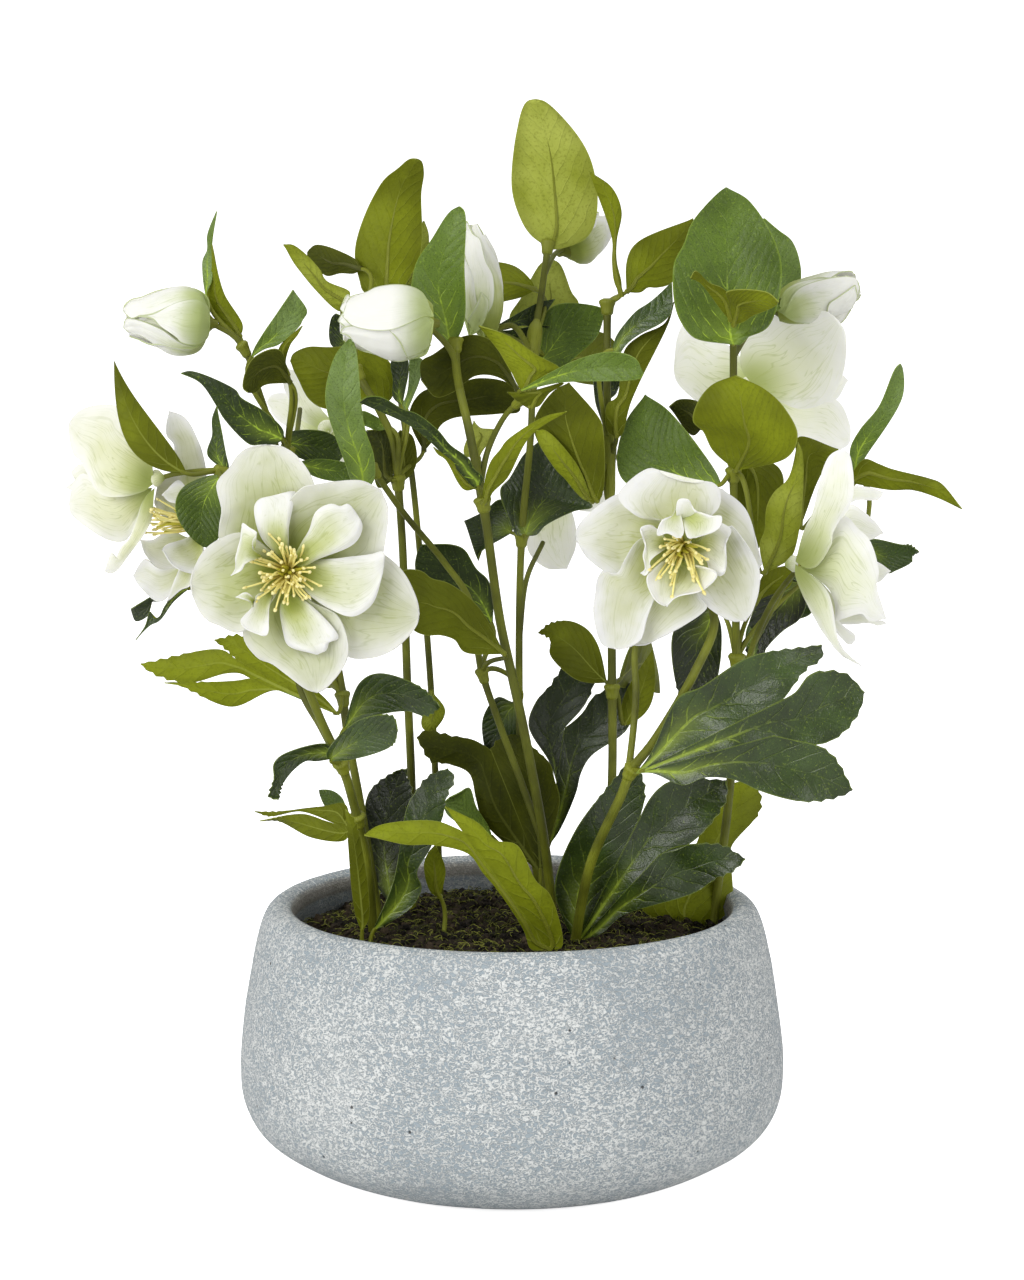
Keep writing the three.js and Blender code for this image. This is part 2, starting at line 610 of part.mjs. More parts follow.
// Leaf sprays. A leaf is [outline, base, middle, tip, width, roll at base, roll at tip, fold].
// A roll of 0 turns its upper face to the front and 180 its underside; a lobed leaf is
// [LOBED, base, middle, tip, roll, fold, lobes]. on and at name the stem and the collar's place.
const sprays = {
  leaves_top: {
    on: "stem_tall",
    at: [15, 165, 60],
    leaves: [[OVAL, [15, 168, 61], [14, 196, 64], [9, 227, 50], 36, 180, 180, 12]],
  },
  leaves_tall_upper: {
    on: "stem_tall",
    at: [9, 120, 32],
    collar: 34,
    leaves: [
      [OVAL, [12, 130, 78], [14, 145, 84], [17, 160, 86], 29, 180, 180, 12],
      [OVAL, [-7, 139, 58], [-1, 150, 64], [8, 158, 70], 16, 180, 180, 12],
      [LANCE, [-13, 125, 42], [1, 135, 44], [17, 143, 46], 9, 0, 20, 12],
      [LANCE, [-12, 122, 46], [3, 128, 50], [16, 133, 52], 8, 0, 10, 12],
      [OVAL, [7, 100, 10], [-16, 117, 2], [-39, 113, 0], 20, 170, 170, 12],
      [OVAL, [13, 116, 42], [24, 129, 46], [39, 140, 50], 24, 0, 0, 12],
      [OVAL, [16, 116, 56], [36, 118, 86], [50, 108, 104], 24, 180, 180, 12],
    ],
  },
  leaves_tall_lower: {
    on: "stem_tall",
    at: [4, 43, 22],
    leaves: [
      [BROAD, [7, 43, 30], [15, 63, 36], [19, 84, 38], 31, 0, 0, 12],
      [OVAL, [3, 39, 26], [-10, 45, 30], [-23, 50, 32], 20, 0, 0, 12],
    ],
  },
  leaves_middle_top: {
    on: "stem_middle",
    at: [-24, 124, -2],
    leaves: [[OVAL, [-24, 128, -3], [-30, 155, -6], [-21, 182, -8], 24, 15, 25, 12]],
  },
  leaves_middle_fork: {
    on: "stem_middle",
    branch: 0,
    at: [3, 100, -14],
    leaves: [
      [OVAL, [1, 106, -15], [-4, 121, -20], [-15, 133, -22], 15, 160, 180, 12],
      [LANCE, [7, 101, -20], [27, 113, -34], [55, 112, -48], 15, 25, 25, 12],
    ],
  },
  leaves_middle_upper: {
    on: "stem_middle",
    at: [-13, 57, -16],
    leaves: [
      [LANCE, [-15, 64, -22], [-34, 91, -34], [-63, 101, -44], 12, 30, 20, 12],
      [OVAL, [-9, 58, -24], [-2, 81, -34], [23, 95, -42], 13, 150, 160, 12],
      [OVAL, [-15, 70, -4], [-15, 85, 2], [-5, 91, 4], 11, 180, 180, 12],
    ],
  },
  leaves_back_left_top: {
    on: "stem_back_left",
    at: [-50, 146, 30],
    leaves: [
      [OVAL, [-50, 149, 31], [-51, 176, 34], [-40, 202, 30], 29, 180, 180, 12],
      [OVAL, [-48, 150, 40], [-40, 148, 66], [-30, 132, 84], 24, 180, 180, 12],
    ],
  },
  leaves_left_crown: {
    on: "stem_middle_left",
    at: [-65, 112, 4],
    leaves: [
      [LANCE, [-70, 140, 12], [-82, 156, 12], [-95, 166, 10], 12, 180, 180, 12],
      [OVAL, [-65, 154, 30], [-75, 163, 36], [-86, 165, 38], 12, 0, 0, 12],
      [OVAL, [-68, 123, 24], [-74, 130, 32], [-77, 137, 32], 10, 0, 0, 12],
      [BROAD, [-58, 103, 16], [-74, 112, 20], [-93, 121, 26], 26, 180, 180, 12],
    ],
  },
  leaves_left_middle: {
    on: "stem_middle_left",
    at: [-48, 67, 0],
    leaves: [
      [OVAL, [-45, 70, 6], [-43, 84, 8], [-42, 100, 10], 17, 0, 0, 12],
      [OVAL, [-44, 76, 6], [-40, 98, 12], [-43, 118, 12], 12, 0, 0, 12],
      [OVAL, [-50, 70, -5], [-55, 79, -10], [-62, 88, -10], 10, 180, 180, 12],
    ],
  },
  leaves_leaning_top: {
    on: "stem_middle",
    branch: 2,
    at: [-58, 71, -18],
    leaves: [[OVAL, [-60, 75, -22], [-71, 96, -34], [-68, 126, -34], 19, 15, 25, 12]],
  },
  leaves_leaning: {
    on: "stem_middle",
    branch: 2,
    at: [-12, -14, 0],
    leaves: [
      [OVAL, [-8, -8, -26], [-24, 18, -36], [-47, 29, -46], 22, 180, 180, 12],
      [OVAL, [-9, -6, 12], [-24, 21, 18], [-39, 40, 22], 26, 0, 0, 12],
    ],
  },
  leaves_middle_right_top: {
    on: "stem_middle_right",
    at: [40, 140, 18],
    leaves: [
      [LANCE, [41, 144, 18], [45, 171, 16], [32, 197, 14], 11, 130, 110, 12],
      [OVAL, [51, 147, 26], [59, 165, 32], [79, 176, 38], 23, 10, 0, 12],
    ],
  },
  leaves_middle_right_upper: {
    on: "stem_middle_right",
    at: [41, 72, 12],
    collar: 30,
    leaves: [
      [LANCE, [45, 85, 7], [49, 120, 4], [68, 149, 8], 21, 20, 40, 12],
      [OVAL, [40, 85, 18], [39, 97, 26], [38, 109, 28], 13, 0, 0, 12],
      [OVAL, [36, 66, 6], [24, 85, -6], [24, 108, -2], 23, 180, 180, 12],
      [LANCE, [35, 64, 14], [24, 74, 16], [10, 87, 18], 14, 180, 180, 12],
      [OVAL, [44, 76, 20], [58, 84, 62], [64, 78, 92], 26, 180, 180, 12],
    ],
  },
  leaves_middle_right_low: {
    on: "stem_middle_right",
    at: [42, -20, 14],
    leaves: [
      [OVAL, [39, -17, 16], [28, -3, 22], [11, 3, 28], 19, 180, 180, 12],
      [LANCE, [47, -36, 20], [54, -22, 22], [59, -4, 24], 12, 180, 180, 12],
      [OVAL, [45, -17, 20], [56, -10, 56], [62, -22, 88], 24, 180, 180, 12],
    ],
  },
  leaves_right_top: {
    on: "stem_right",
    at: [93, 134, -4],
    leaves: [
      [BROAD, [93, 130, -12], [89, 157, -16], [90, 190, 0], 47, 0, 0, 8],
      [BROAD, [97, 132, 14], [110, 155, 34], [109, 177, 42], 27, 0, 0, 12],
      [OVAL, [95, 134, -14], [102, 143, -32], [113, 140, -42], 17, 200, 200, 12],
      [LANCE, [91, 136, -14], [86, 146, -24], [75, 155, -32], 10, 30, 30, 12],
      [OVAL, [94, 136, 12], [92, 148, 50], [86, 140, 82], 26, 180, 180, 12],
    ],
  },
  leaves_right_upper: {
    on: "stem_right",
    at: [93, 69, 2],
    leaves: [
      [BROAD, [94, 69, -10], [98, 89, -24], [97, 110, -26], 45, 180, 180, 8],
      [BROAD, [86, 62, -2], [66, 80, 4], [55, 102, 12], 36, 0, 0, 12],
      [OVAL, [84, 80, 22], [74, 94, 30], [66, 100, 32], 12, 180, 180, 12],
      [OVAL, [105, 31, -12], [108, 57, -22], [120, 85, -14], 17, 160, 150, 12],
    ],
  },
  leaves_far_right: {
    on: "stem_right",
    branch: 1,
    at: [143, 67, 14],
    leaves: [
      [LANCE, [144, 70, 12], [155, 90, 8], [163, 116, 2], 13, 25, 35, 12],
      [LANCE, [146, 68, 10], [166, 70, 2], [188, 55, -8], 13, 170, 160, 12],
      [OVAL, [140, 68, 22], [131, 76, 34], [120, 81, 38], 13, 180, 180, 12],
      [OVAL, [148, 36, 34], [160, 38, 30], [171, 38, 26], 13, 0, 0, 12],
    ],
  },
  leaves_right_low: {
    on: "stem_right",
    at: [94, -8, 9],
    leaves: [
      [OVAL, [103, 15, 14], [110, 24, 12], [119, 33, 10], 12, 180, 180, 12],
      [BROAD, [101, -6, 28], [113, 8, 34], [126, 23, 38], 24, 0, 0, 12],
      [BROAD, [84, -20, 20], [81, -6, 28], [84, 12, 32], 24, 0, 0, 12],
    ],
  },
  leaf_lobed_right: {
    on: "stem_front_right",
    at: [50, -55, -56],
    leaves: [
      [
        LOBED, [53, -55, -62], [99, -32, -74], [147, -22, -64], 0, 8,
        [[15, 92, 14], [0, 100, 13], [-24, 90, 15], [33, 43, 14]],
      ],
    ],
  },
  leaf_back_right: {
    leaves: [[OVAL, [68, -120, 14], [78, -92, 24], [98, -62, 40], 33, 180, 170, 12]],
  },
  leaves_lobed_middle: {
    roots: 2,
    leaves: [
      [
        LOBED, [4, -96, 12], [-6, -68, 14], [-18, -38, 18],
        180, 8,
        [[17, 73, 16], [-5, 71, 14], [-35, 43, 14]],
      ],
      [
        LOBED, [18, -93, 34], [30, -54, 38], [37, -21, 44],
        0, 8,
        [[10, 82, 14], [-9, 76, 14], [-8, 49, 14]],
      ],
    ],
  },
  leaves_front: {
    roots: 2,
    leaves: [
      [OVAL, [16, -129, -46], [5, -101, -56], [-27, -71, -54], 20, 165, 180, 12],
      [
        LOBED, [28, -130, -42], [54, -88, -58], [91, -59, -50],
        0, 8,
        [[27, 81, 12], [0, 97, 12], [-20, 81, 13]],
      ],
      [LANCE, [-3, -93, -56], [-30, -81, -60], [-61, -81, -60], 12, 190, 190, 12],
    ],
  },
  leaves_front_left: {
    roots: 2,
    leaves: [
      [LANCE, [-60, -124, -26], [-45, -97, -36], [-25, -55, -28], 18, 0, 10, 12],
      [LANCE, [-63, -124, -28], [-67, -97, -36], [-70, -66, -44], 9, 180, 180, 12],
    ],
  },
  leaf_back_middle: {
    leaves: [[OVAL, [-48, -112, 26], [-50, -84, 40], [-53, -54, 44], 20, 0, 0, 12]],
  },
  leaves_lower_left: {
    on: "stem_front_left",
    at: [-66, -76, -26],
    leaves: [
      [LANCE, [-70, -78, -24], [-87, -70, -18], [-109, -72, -10], 12, 180, 180, 12],
      [OVAL, [-70, -75, -14], [-75, -68, -4], [-81, -63, 2], 8, 0, 0, 12],
    ],
  },
  leaves_left_node: {
    on: "stem_front_left",
    at: [-71, -54, -38],
    leaves: [
      [LANCE, [-74, -52, -42], [-91, -47, -50], [-101, -67, -56], 13, 20, 30, 12],
      [OVAL, [-74, -51, -48], [-56, -20, -60], [-30, -28, -64], 17, 10, 0, 12],
      [OVAL, [-72, -52, -52], [-62, -42, -68], [-48, -35, -76], 17, 0, 0, 12],
    ],
  },
  leaves_left_lobed: {
    on: "stem_left",
    at: [-72, -25, -7],
    leaves: [
      [OVAL, [-79, -25, -18], [-114, -13, -20], [-156, -10, -16], 13, 190, 180, 12],
      [LANCE, [-81, -23, -12], [-104, -5, -10], [-126, -1, -8], 13, 180, 180, 12],
      [OVAL, [-76, -20, 4], [-85, 4, 40], [-92, 18, 68], 24, 180, 180, 12],
    ],
  },
  leaves_far_left: {
    on: "stem_front_left",
    branch: 1,
    at: [-122, 71, -34],
    leaves: [
      [LANCE, [-137, 70, -44], [-156, 87, -48], [-167, 117, -42], 14, 180, 170, 12],
      [BROAD, [-122, 69, -44], [-130, 55, -58], [-129, 39, -60], 23, 0, 0, 12],
      [LANCE, [-122, 76, -31], [-125, 87, -28], [-124, 98, -26], 7, 50, 50, 12],
    ],
  },
  leaves_left_upper: {
    on: "stem_left",
    at: [-94, 78, -4],
    leaves: [
      [LANCE, [-97, 83, -14], [-116, 100, -18], [-138, 112, -14], 14, 0, 0, 12],
      [OVAL, [-91, 77, 4], [-83, 81, 10], [-72, 84, 12], 15, 0, 0, 12],
      [OVAL, [-90, 74, 2], [-74, 71, 6], [-57, 70, 6], 9, 0, 0, 12],
      [OVAL, [-94, 108, -12], [-101, 130, -18], [-91, 147, -12], 17, 10, 20, 12],
      [OVAL, [-95, 107, -14], [-105, 106, -24], [-113, 113, -26], 12, 160, 160, 12],
    ],
  },
  leaf_bud_left: {
    on: "stem_front_left",
    branch: 0,
    at: [-113, 123, 0],
    leaves: [[LANCE, [-115, 129, 3], [-128, 150, 6], [-124, 180, 6], 10, 140, 120, 12]],
  },
};

const BLADE_ROWS = 4;
const BLADE_COLUMNS = 2;
const STALK_SIDES = 4;
const ROOTING = 14;
const ROOT_RADIUS = 2;
const SHORTEST_STALK = 3;
const NARROW_LEAF = 14;

function leafBlade([outline, base, middle, tip, ...shape]) {
  const degrees = THREE.MathUtils.degToRad;
  const places = { base: sight(base), middle: sight(middle), tip: sight(tip) };
  const facing = eye.clone().sub(places.middle).normalize();
  if (outline === LOBED) {
    const [roll, fold, lobes] = shape;
    return { ...places, facing, lobes, roll: degrees(roll), fold: degrees(fold) };
  }
  const [width, rollBase, rollTip, fold] = shape;
  const wide = width > NARROW_LEAF;
  return {
    ...places,
    facing,
    outline,
    width,
    roll: [degrees(rollBase), degrees(rollTip)],
    fold: degrees(fold),
    rows: wide ? BLADE_ROWS : BLADE_ROWS - 1,
    columns: wide ? BLADE_COLUMNS : 1,
    thickness: LEAF_THICKNESS,
  };
}

// A collar that follows its stem; past the end of the stem it runs straight on.
function collarSolid(curve, share, length, radius, grow) {
  const total = curve.getLength();
  const points = [-0.5, -0.2, 0.2, 0.5].map((step) => {
    const wanted = share + (step * length) / total;
    const held = THREE.MathUtils.clamp(wanted, 0, 1);
    return curve.getPointAt(held).addScaledVector(curve.getTangentAt(held), (wanted - held) * total);
  });
  return rodSolid(points, radius, grow, length > LONG_COLLAR ? 3 : 1, COLLAR_SIDES);
}

function spraySolid({ on, branch, at, leaves, collar = COLLAR_LENGTH, roots = 1 }, grow = 0) {
  const blades = leaves.map(leafBlade);
  const solids = [];
  if (on) {
    const owner = branch === undefined ? stems[on] : stems[on].branches[branch];
    const curve = stemCurves(stems[on])[branch === undefined ? 0 : branch + 1];
    const share = nearestShare(curve, sight(at));
    const node = curve.getPointAt(share);
    for (const blade of blades) {
      if (blade.base.distanceTo(node) > SHORTEST_STALK) blade.from = node;
    }
    solids.push(collarSolid(curve, share, collar, owner.radius + COLLAR_WALL, grow));
  } else {
    const plug = blades[0].base.clone().setZ(SOIL_TOP - ROOTING);
    for (const { base, middle, tip } of blades.slice(0, roots)) {
      const start = spineOf(base, middle, tip).getPoint(0.06);
      const foot = base.clone().setZ(plug.z);
      solids.push(rodSolid([foot, base, start], ROOT_RADIUS, grow, 3, STALK_SIDES));
      if (foot.distanceTo(plug) > 1) solids.push(rodSolid([plug, foot], ROOT_RADIUS, grow, 1, STALK_SIDES));
    }
  }
  for (const blade of blades) {
    solids.push(blade.lobes ? lobedSolid(blade, grow) : bladeSolid(blade, grow));
  }
  return join(solids);
}
for (const [name, spray] of Object.entries(sprays)) {
  addPart(name, name.includes("lobed") ? leafDark : leafGreen, (grow) => spraySolid(spray, grow));
}

// Soil fills the pot to just under the lip; its top is a little uneven.
const soilProfile = [
  [0, SOIL_TOP],
  [45, SOIL_TOP + 1],
  [91.6, SOIL_TOP - 2],
  [96.6, 90],
  [100.6, 58],
  [96.6, 31.2],
  [78.7, 18.4],
  [0, 15.4],
];
addPart("soil", earth, () => solidOf(turned([...soilProfile].reverse())));

// ---- fitting ------------------------------------------------------------------------------------
// Each piece gives way, with the fit gap, to every earlier piece that it would touch.
const touches = (a, b) => [0, 1, 2].every((k) => a.min[k] < b.max[k] && b.min[k] < a.max[k]);

export const plant = new THREE.Group();
const placed = [];
for (const { name, material, build } of parts) {
  let solid = build(0);
  for (const other of placed) {
    if (!touches(solid.boundingBox(), other.room.boundingBox())) continue;
    if (solid.intersect(other.room).isEmpty()) continue;
    solid = solid.subtract(other.room);
  }
  solid = largestBody(solid.simplify(SMOOTHING));
  placed.push({ name, room: name === "pot" || name === "soil" ? solid : build(FIT_GAP) });
  const mesh = new THREE.Mesh(geometryOf(solid), material);
  mesh.name = name;
  plant.add(mesh);
}

export default plant;
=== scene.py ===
# %% [markdown]
# # A hellebore in a round pot
#
# The plant is a bunch of slender stems pushed into a low, belly-shaped pot. Each stem carries sprays of
# leaves on little sleeves, and ends in a white blossom or a closed bud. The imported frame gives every
# part its place; this script gives each part its real surface. All lengths are in metres once they
# have passed through `sight`, and the tables hold plain millimetres.

# %% Load the frame
import math
import zlib

import bpy
import numpy as np
from mathutils import Matrix


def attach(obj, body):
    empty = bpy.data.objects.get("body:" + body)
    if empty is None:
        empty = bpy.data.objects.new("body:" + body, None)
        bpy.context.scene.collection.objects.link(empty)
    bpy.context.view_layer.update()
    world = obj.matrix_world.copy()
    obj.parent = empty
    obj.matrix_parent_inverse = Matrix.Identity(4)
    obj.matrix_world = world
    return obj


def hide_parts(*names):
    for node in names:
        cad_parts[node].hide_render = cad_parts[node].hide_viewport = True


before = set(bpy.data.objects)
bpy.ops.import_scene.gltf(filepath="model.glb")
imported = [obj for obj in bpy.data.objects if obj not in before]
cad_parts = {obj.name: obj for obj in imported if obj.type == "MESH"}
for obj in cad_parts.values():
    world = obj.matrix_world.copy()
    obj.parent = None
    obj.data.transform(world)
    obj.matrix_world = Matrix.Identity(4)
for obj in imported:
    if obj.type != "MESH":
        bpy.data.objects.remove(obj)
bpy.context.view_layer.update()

# %% [markdown]
# ## The eye
#
# A plant has no straight edges to measure from, so its places are given as an eye in front of the pot
# sees them: how far to the right, how far up, and how far back. The camera stands at that same eye,
# with a long lens, so near and far leaves keep their proportions.

# %% The eye and the camera
MM = 0.001
EYE_DISTANCE = 1900
EYE_TILT = math.radians(8.9)
AIM_HEIGHT = 229
VIEW_WIDTH = 430
SENSOR_WIDTH = 36
FARTHEST = 200  # metres; past the rim of the floor

forward = np.array([0, math.cos(EYE_TILT), -math.sin(EYE_TILT)])
upward = np.array([0, math.sin(EYE_TILT), math.cos(EYE_TILT)])
eye = np.array([0, 0, AIM_HEIGHT]) - EYE_DISTANCE * forward


def sight(right, up, back):
    """Numbers or arrays in mm to metres: along the ray through (right, up), as far back as Y = back."""
    right, up, back = (np.asarray(given, float)[..., None] for given in (right, up, back))
    ray = EYE_DISTANCE * forward + up * upward + right * np.array([1, 0, 0])
    return MM * (eye + ray * (back - eye[1]) / ray[..., 1:2])


def place_object(name, data, matrix=None):
    """A new object in the scene."""
    made = bpy.data.objects.new(name, data)
    bpy.context.scene.collection.objects.link(made)
    if matrix is not None:
        made.matrix_world = matrix
    return made


lens = bpy.data.cameras.new("view")
lens.sensor_fit = "HORIZONTAL"
lens.sensor_width = SENSOR_WIDTH
lens.lens = SENSOR_WIDTH * EYE_DISTANCE / VIEW_WIDTH
lens.clip_end = FARTHEST
level = Matrix.Rotation(math.pi / 2 - EYE_TILT, 4, "X")
bpy.context.scene.camera = place_object("view", lens, Matrix.Translation(MM * eye) @ level)
print("lens, mm:", round(lens.lens, 1))

# %% [markdown]
# ## Small tools for surfaces
#
# Every new piece is a grid of points worked out with numpy. A *skin* is a closed tube or turned shape,
# ring after ring. A *sheet* is a thin closed leaf or petal with an upper and a lower face, so that the
# two faces can have different finishes. Both return the same plain dictionary, and `piece` joins any
# number of them into one mesh.

# %% Vectors and noise
FULL_TURN = 2 * math.pi
ANY_PHASE = (0, 6.3)  # a full turn, rounded up
EAST, NORTH, UP = np.eye(3)


def unit(v):
    """Vectors scaled to length one."""
    return v / np.maximum(np.linalg.norm(v, axis=-1, keepdims=True), 1e-12)


def lerp(a, b, t):
    """The mix of a and b at share t."""
    return a + (b - a) * t


def ease(x):
    """Zero to one with a soft start and end: 3x^2 - 2x^3."""
    x = np.clip(x, 0, 1)
    return x * x * (3 - 2 * x)


def seed_of(name):
    """A random generator that is always the same for the same name."""
    return np.random.default_rng(zlib.crc32(name.encode()))


def ripple(points, size, rng, waves=12):
    """Smooth noise between about -1 and 1: a sum of sine waves of one length in random directions."""
    ways = unit(rng.normal(size=(waves, 3))) * rng.uniform(0.6, 1.6, (waves, 1)) * FULL_TURN / size
    return np.sin(points @ ways.T + rng.uniform(0, 6.283, waves)).sum(-1) / math.sqrt(waves)


def circle(sides):
    """Equal angles round a full turn."""
    return np.arange(sides) * FULL_TURN / sides


def compass(side, other, angle):
    """Directions at angles in the plane of two vectors: side cos a + other sin a."""
    return side * np.cos(angle)[..., None] + other * np.sin(angle)[..., None]


def grid(rows, columns):
    """The two parameters of a sheet: t from 0 to 1 down the rows, v from -1 to 1 across them."""
    return np.linspace(0, 1, rows)[:, None], np.linspace(-1, 1, columns)[None]


def paired(along, across):
    """Two arrays spread to one shape and set side by side, as a flat map needs them."""
    return np.stack(np.broadcast_arrays(along, across), axis=-1)


# %% Curves
def run_of(line):
    """How far along a line each of its points lies."""
    return np.concatenate([[0], np.cumsum(np.linalg.norm(np.diff(line, axis=0), axis=1))])


def at_lengths(line, lengths):
    """The places on a line that lie at the given lengths along it."""
    return np.stack([np.interp(lengths, run_of(line), line[:, i]) for i in range(line.shape[1])], axis=1)


def evenly(line, count):
    """The same line cut into count points at equal steps along its length."""
    return at_lengths(line, np.linspace(0, run_of(line)[-1], count))


def curve_through(points, count):
    """A smooth curve through the points, evenly spaced: centripetal Catmull-Rom, then cut by length."""
    p = np.asarray(points, float)
    p = np.vstack([2 * p[0] - p[1], p, 2 * p[-1] - p[-2]])
    knots = np.concatenate([[0], np.cumsum(np.sqrt(np.linalg.norm(np.diff(p, axis=0), axis=1)))])
    t = np.linspace(knots[1], knots[-2], 40 * len(points))
    first = np.clip(np.searchsorted(knots, t, side="right") - 1, 1, len(p) - 3)
    t0, t1, t2, t3 = (knots[first + i][:, None] for i in (-1, 0, 1, 2))
    p0, p1, p2, p3 = (p[first + i] for i in (-1, 0, 1, 2))

    def mix(a, b, start, end):
        """The straight mix of a at start and b at end."""
        return ((end - t[:, None]) * a + (t[:, None] - start) * b) / (end - start)

    one, two, three = mix(p0, p1, t0, t1), mix(p1, p2, t1, t2), mix(p2, p3, t2, t3)
    return evenly(mix(mix(one, two, t0, t2), mix(two, three, t1, t3), t1, t2), count)


# %% Surfaces as plain dictionaries
CARRIED = ("reach", "edge", "tone")  # base to tip, middle to rim, and lighter or darker


def surface(points, quads, uv, triangles=(), finish=0, **carried):
    """Points, four- and three-sided faces, a flat map and the values that each point carries."""
    made = {key: np.broadcast_to(carried.get(key, 0.0), len(points)) for key in CARRIED}
    triangles = np.reshape(triangles, (-1, 3)).astype(int)
    return dict(made, points=points, quads=quads, triangles=triangles, uv=uv, finish=finish)


def skin(rings, uv=None, reach=0.0, tone=0.0, finish=0):
    """A closed tube: rings[k, s] goes round, right-handed about the way k runs; fans close its ends."""
    steps, sides = rings.shape[:2]
    here = np.arange(steps * sides).reshape(steps, sides)
    turn = np.roll(here, -1, axis=1)
    quads = np.stack([here[:-1], turn[:-1], turn[1:], here[1:]], axis=-1).reshape(-1, 4)
    centre = np.full(sides, steps * sides)
    fans = [[turn[0], here[0], centre], [here[-1], turn[-1], centre + 1]]
    triangles = np.concatenate([np.stack(fan, axis=-1) for fan in fans])
    points = np.vstack([rings.reshape(-1, 3), rings[0].mean(axis=0), rings[-1].mean(axis=0)])
    if uv is None:
        uv = paired(np.linspace(0, 1, steps)[:, None], np.arange(sides) / sides)
    uv = np.vstack([uv.reshape(-1, 2), np.zeros((2, 2))])
    reach = np.repeat(np.broadcast_to(reach, steps), sides)
    reach = np.append(reach, [reach[-1], reach[-1]])
    return surface(points, quads, uv, triangles, finish, reach=reach, tone=tone)


def rings_round(path, radii, sides):
    """Circles square to one path[k] or many path[n, k]; side = ref x tangent, so they don't twist."""
    tangent = unit(np.gradient(path, axis=-2))
    chord = np.abs(unit(path[..., -1, :] - path[..., 0, :]))
    ref = np.eye(3)[np.argmin(chord, axis=-1)][..., None, :]
    side = unit(np.cross(np.broadcast_to(ref, tangent.shape), tangent))
    out = compass(side[..., None, :], np.cross(tangent, side)[..., None, :], circle(sides))
    return path[..., None, :] + out * np.broadcast_to(radii, path.shape[:-1])[..., None, None]


def turned(profile, place, axis, sides=20, finish=0):
    """A turned shape: [radius, height] pairs in metres swept round an axis."""
    side = unit(np.cross(axis, np.eye(3)[np.argmin(np.abs(axis))]))
    radius, height = np.array(profile, float).T[..., None, None]
    rings = place + compass(side, np.cross(axis, side), circle(sides)) * radius + axis * height
    return skin(rings, reach=np.linspace(0, 1, len(profile)), finish=finish)


def sheet(points, thickness, finishes, uv, **carried):
    """A thin closed sheet over a grid: two faces half a thickness either way, joined round the rim."""
    rows, columns = points.shape[:2]
    normal = unit(np.cross(np.gradient(points, axis=1), np.gradient(points, axis=0)))
    half = normal * np.broadcast_to(thickness, (rows, columns))[..., None] / 2
    both = np.concatenate([points + half, points - half]).reshape(-1, 3)
    index = np.arange(rows * columns).reshape(rows, columns)
    corners = [index[:-1, :-1], index[:-1, 1:], index[1:, 1:], index[1:, :-1]]
    top = np.stack(corners, axis=-1).reshape(-1, 4)
    rim = np.concatenate([index[0, :-1], index[:-1, -1], index[-1, :0:-1], index[:0:-1, 0]])
    after, under = np.roll(rim, -1), rows * columns
    walls = np.stack([after, rim, rim + under, after + under], axis=-1)
    finish = np.repeat(finishes, (len(top) + len(walls), len(top)))
    spread = {key: np.tile(np.broadcast_to(value, (rows, columns)).ravel(), 2)
              for key, value in carried.items()}
    quads = np.vstack([top, walls, top[:, ::-1] + under])
    return surface(both, quads, np.tile(uv.reshape(-1, 2), (2, 1)), finish=finish, **spread)


# %% Many copies at once
def copies(rings, tone=0.0, finish=0):
    """Many closed tubes at once: rings[n, k, s] are n tubes with the same number of rings and sides."""
    count, steps, sides = rings.shape[:3]
    one = skin(rings[0])
    size = len(one["points"])
    ends = np.stack([rings[:, 0].mean(axis=1), rings[:, -1].mean(axis=1)], axis=1)
    points = np.concatenate([rings.reshape(count, -1, 3), ends], axis=1).reshape(-1, 3)
    shift = (np.arange(count) * size)[:, None, None]
    quads, triangles = (one["quads"] + shift).reshape(-1, 4), one["triangles"] + shift
    reach = np.tile(np.append(np.repeat(np.linspace(0, 1, steps), sides), [0, 1]), count)
    tone = np.repeat(np.broadcast_to(tone, count), size)
    uv = np.tile(one["uv"], (count, 1))
    return surface(points, quads, uv, triangles, finish, reach=reach, tone=tone)


# %% One mesh from many surfaces
SHARP = math.radians(50)


def joined(surfaces, key):
    """One array from the arrays that the surfaces keep under a key."""
    return np.concatenate([made[key] for made in surfaces])


def piece(node, surfaces, materials):
    """Joins surfaces into one mesh object that rides on the plant and stands for a CAD node."""
    starts = np.cumsum([0] + [len(made["points"]) for made in surfaces])[:-1]
    quads, triangles = (np.vstack([made[key] + start for made, start in zip(surfaces, starts)])
                        for key in ("quads", "triangles"))
    finish = [np.broadcast_to(made["finish"], len(made["quads"])) for made in surfaces]
    finish += [np.broadcast_to(np.ravel(made["finish"])[0], len(made["triangles"])) for made in surfaces]
    name = node + ".real"
    mesh = bpy.data.meshes.new(name)
    mesh.from_pydata(joined(surfaces, "points"), [], quads.tolist() + triangles.tolist())
    for material in materials:
        mesh.materials.append(material)
    mesh.polygons.foreach_set("material_index", np.concatenate(finish).astype(np.int32))
    mesh.polygons.foreach_set("use_smooth", np.ones(len(mesh.polygons), bool))
    corner = np.zeros(len(mesh.loops), np.int32)
    mesh.loops.foreach_get("vertex_index", corner)
    flat = joined(surfaces, "uv")[corner].astype(np.float32)
    mesh.uv_layers.new(name="UVMap").data.foreach_set("uv", flat.ravel())
    for key in CARRIED:
        values = joined(surfaces, key).astype(np.float32)
        mesh.attributes.new(key, "FLOAT", "POINT").data.foreach_set("value", values)
    mesh.set_sharp_from_angle(angle=SHARP)
    mesh.validate()
    made = place_object(name, mesh)
    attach(made, "root")
    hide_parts(node)
    print(f"{name}: {2 * len(quads) + len(triangles)} triangles")

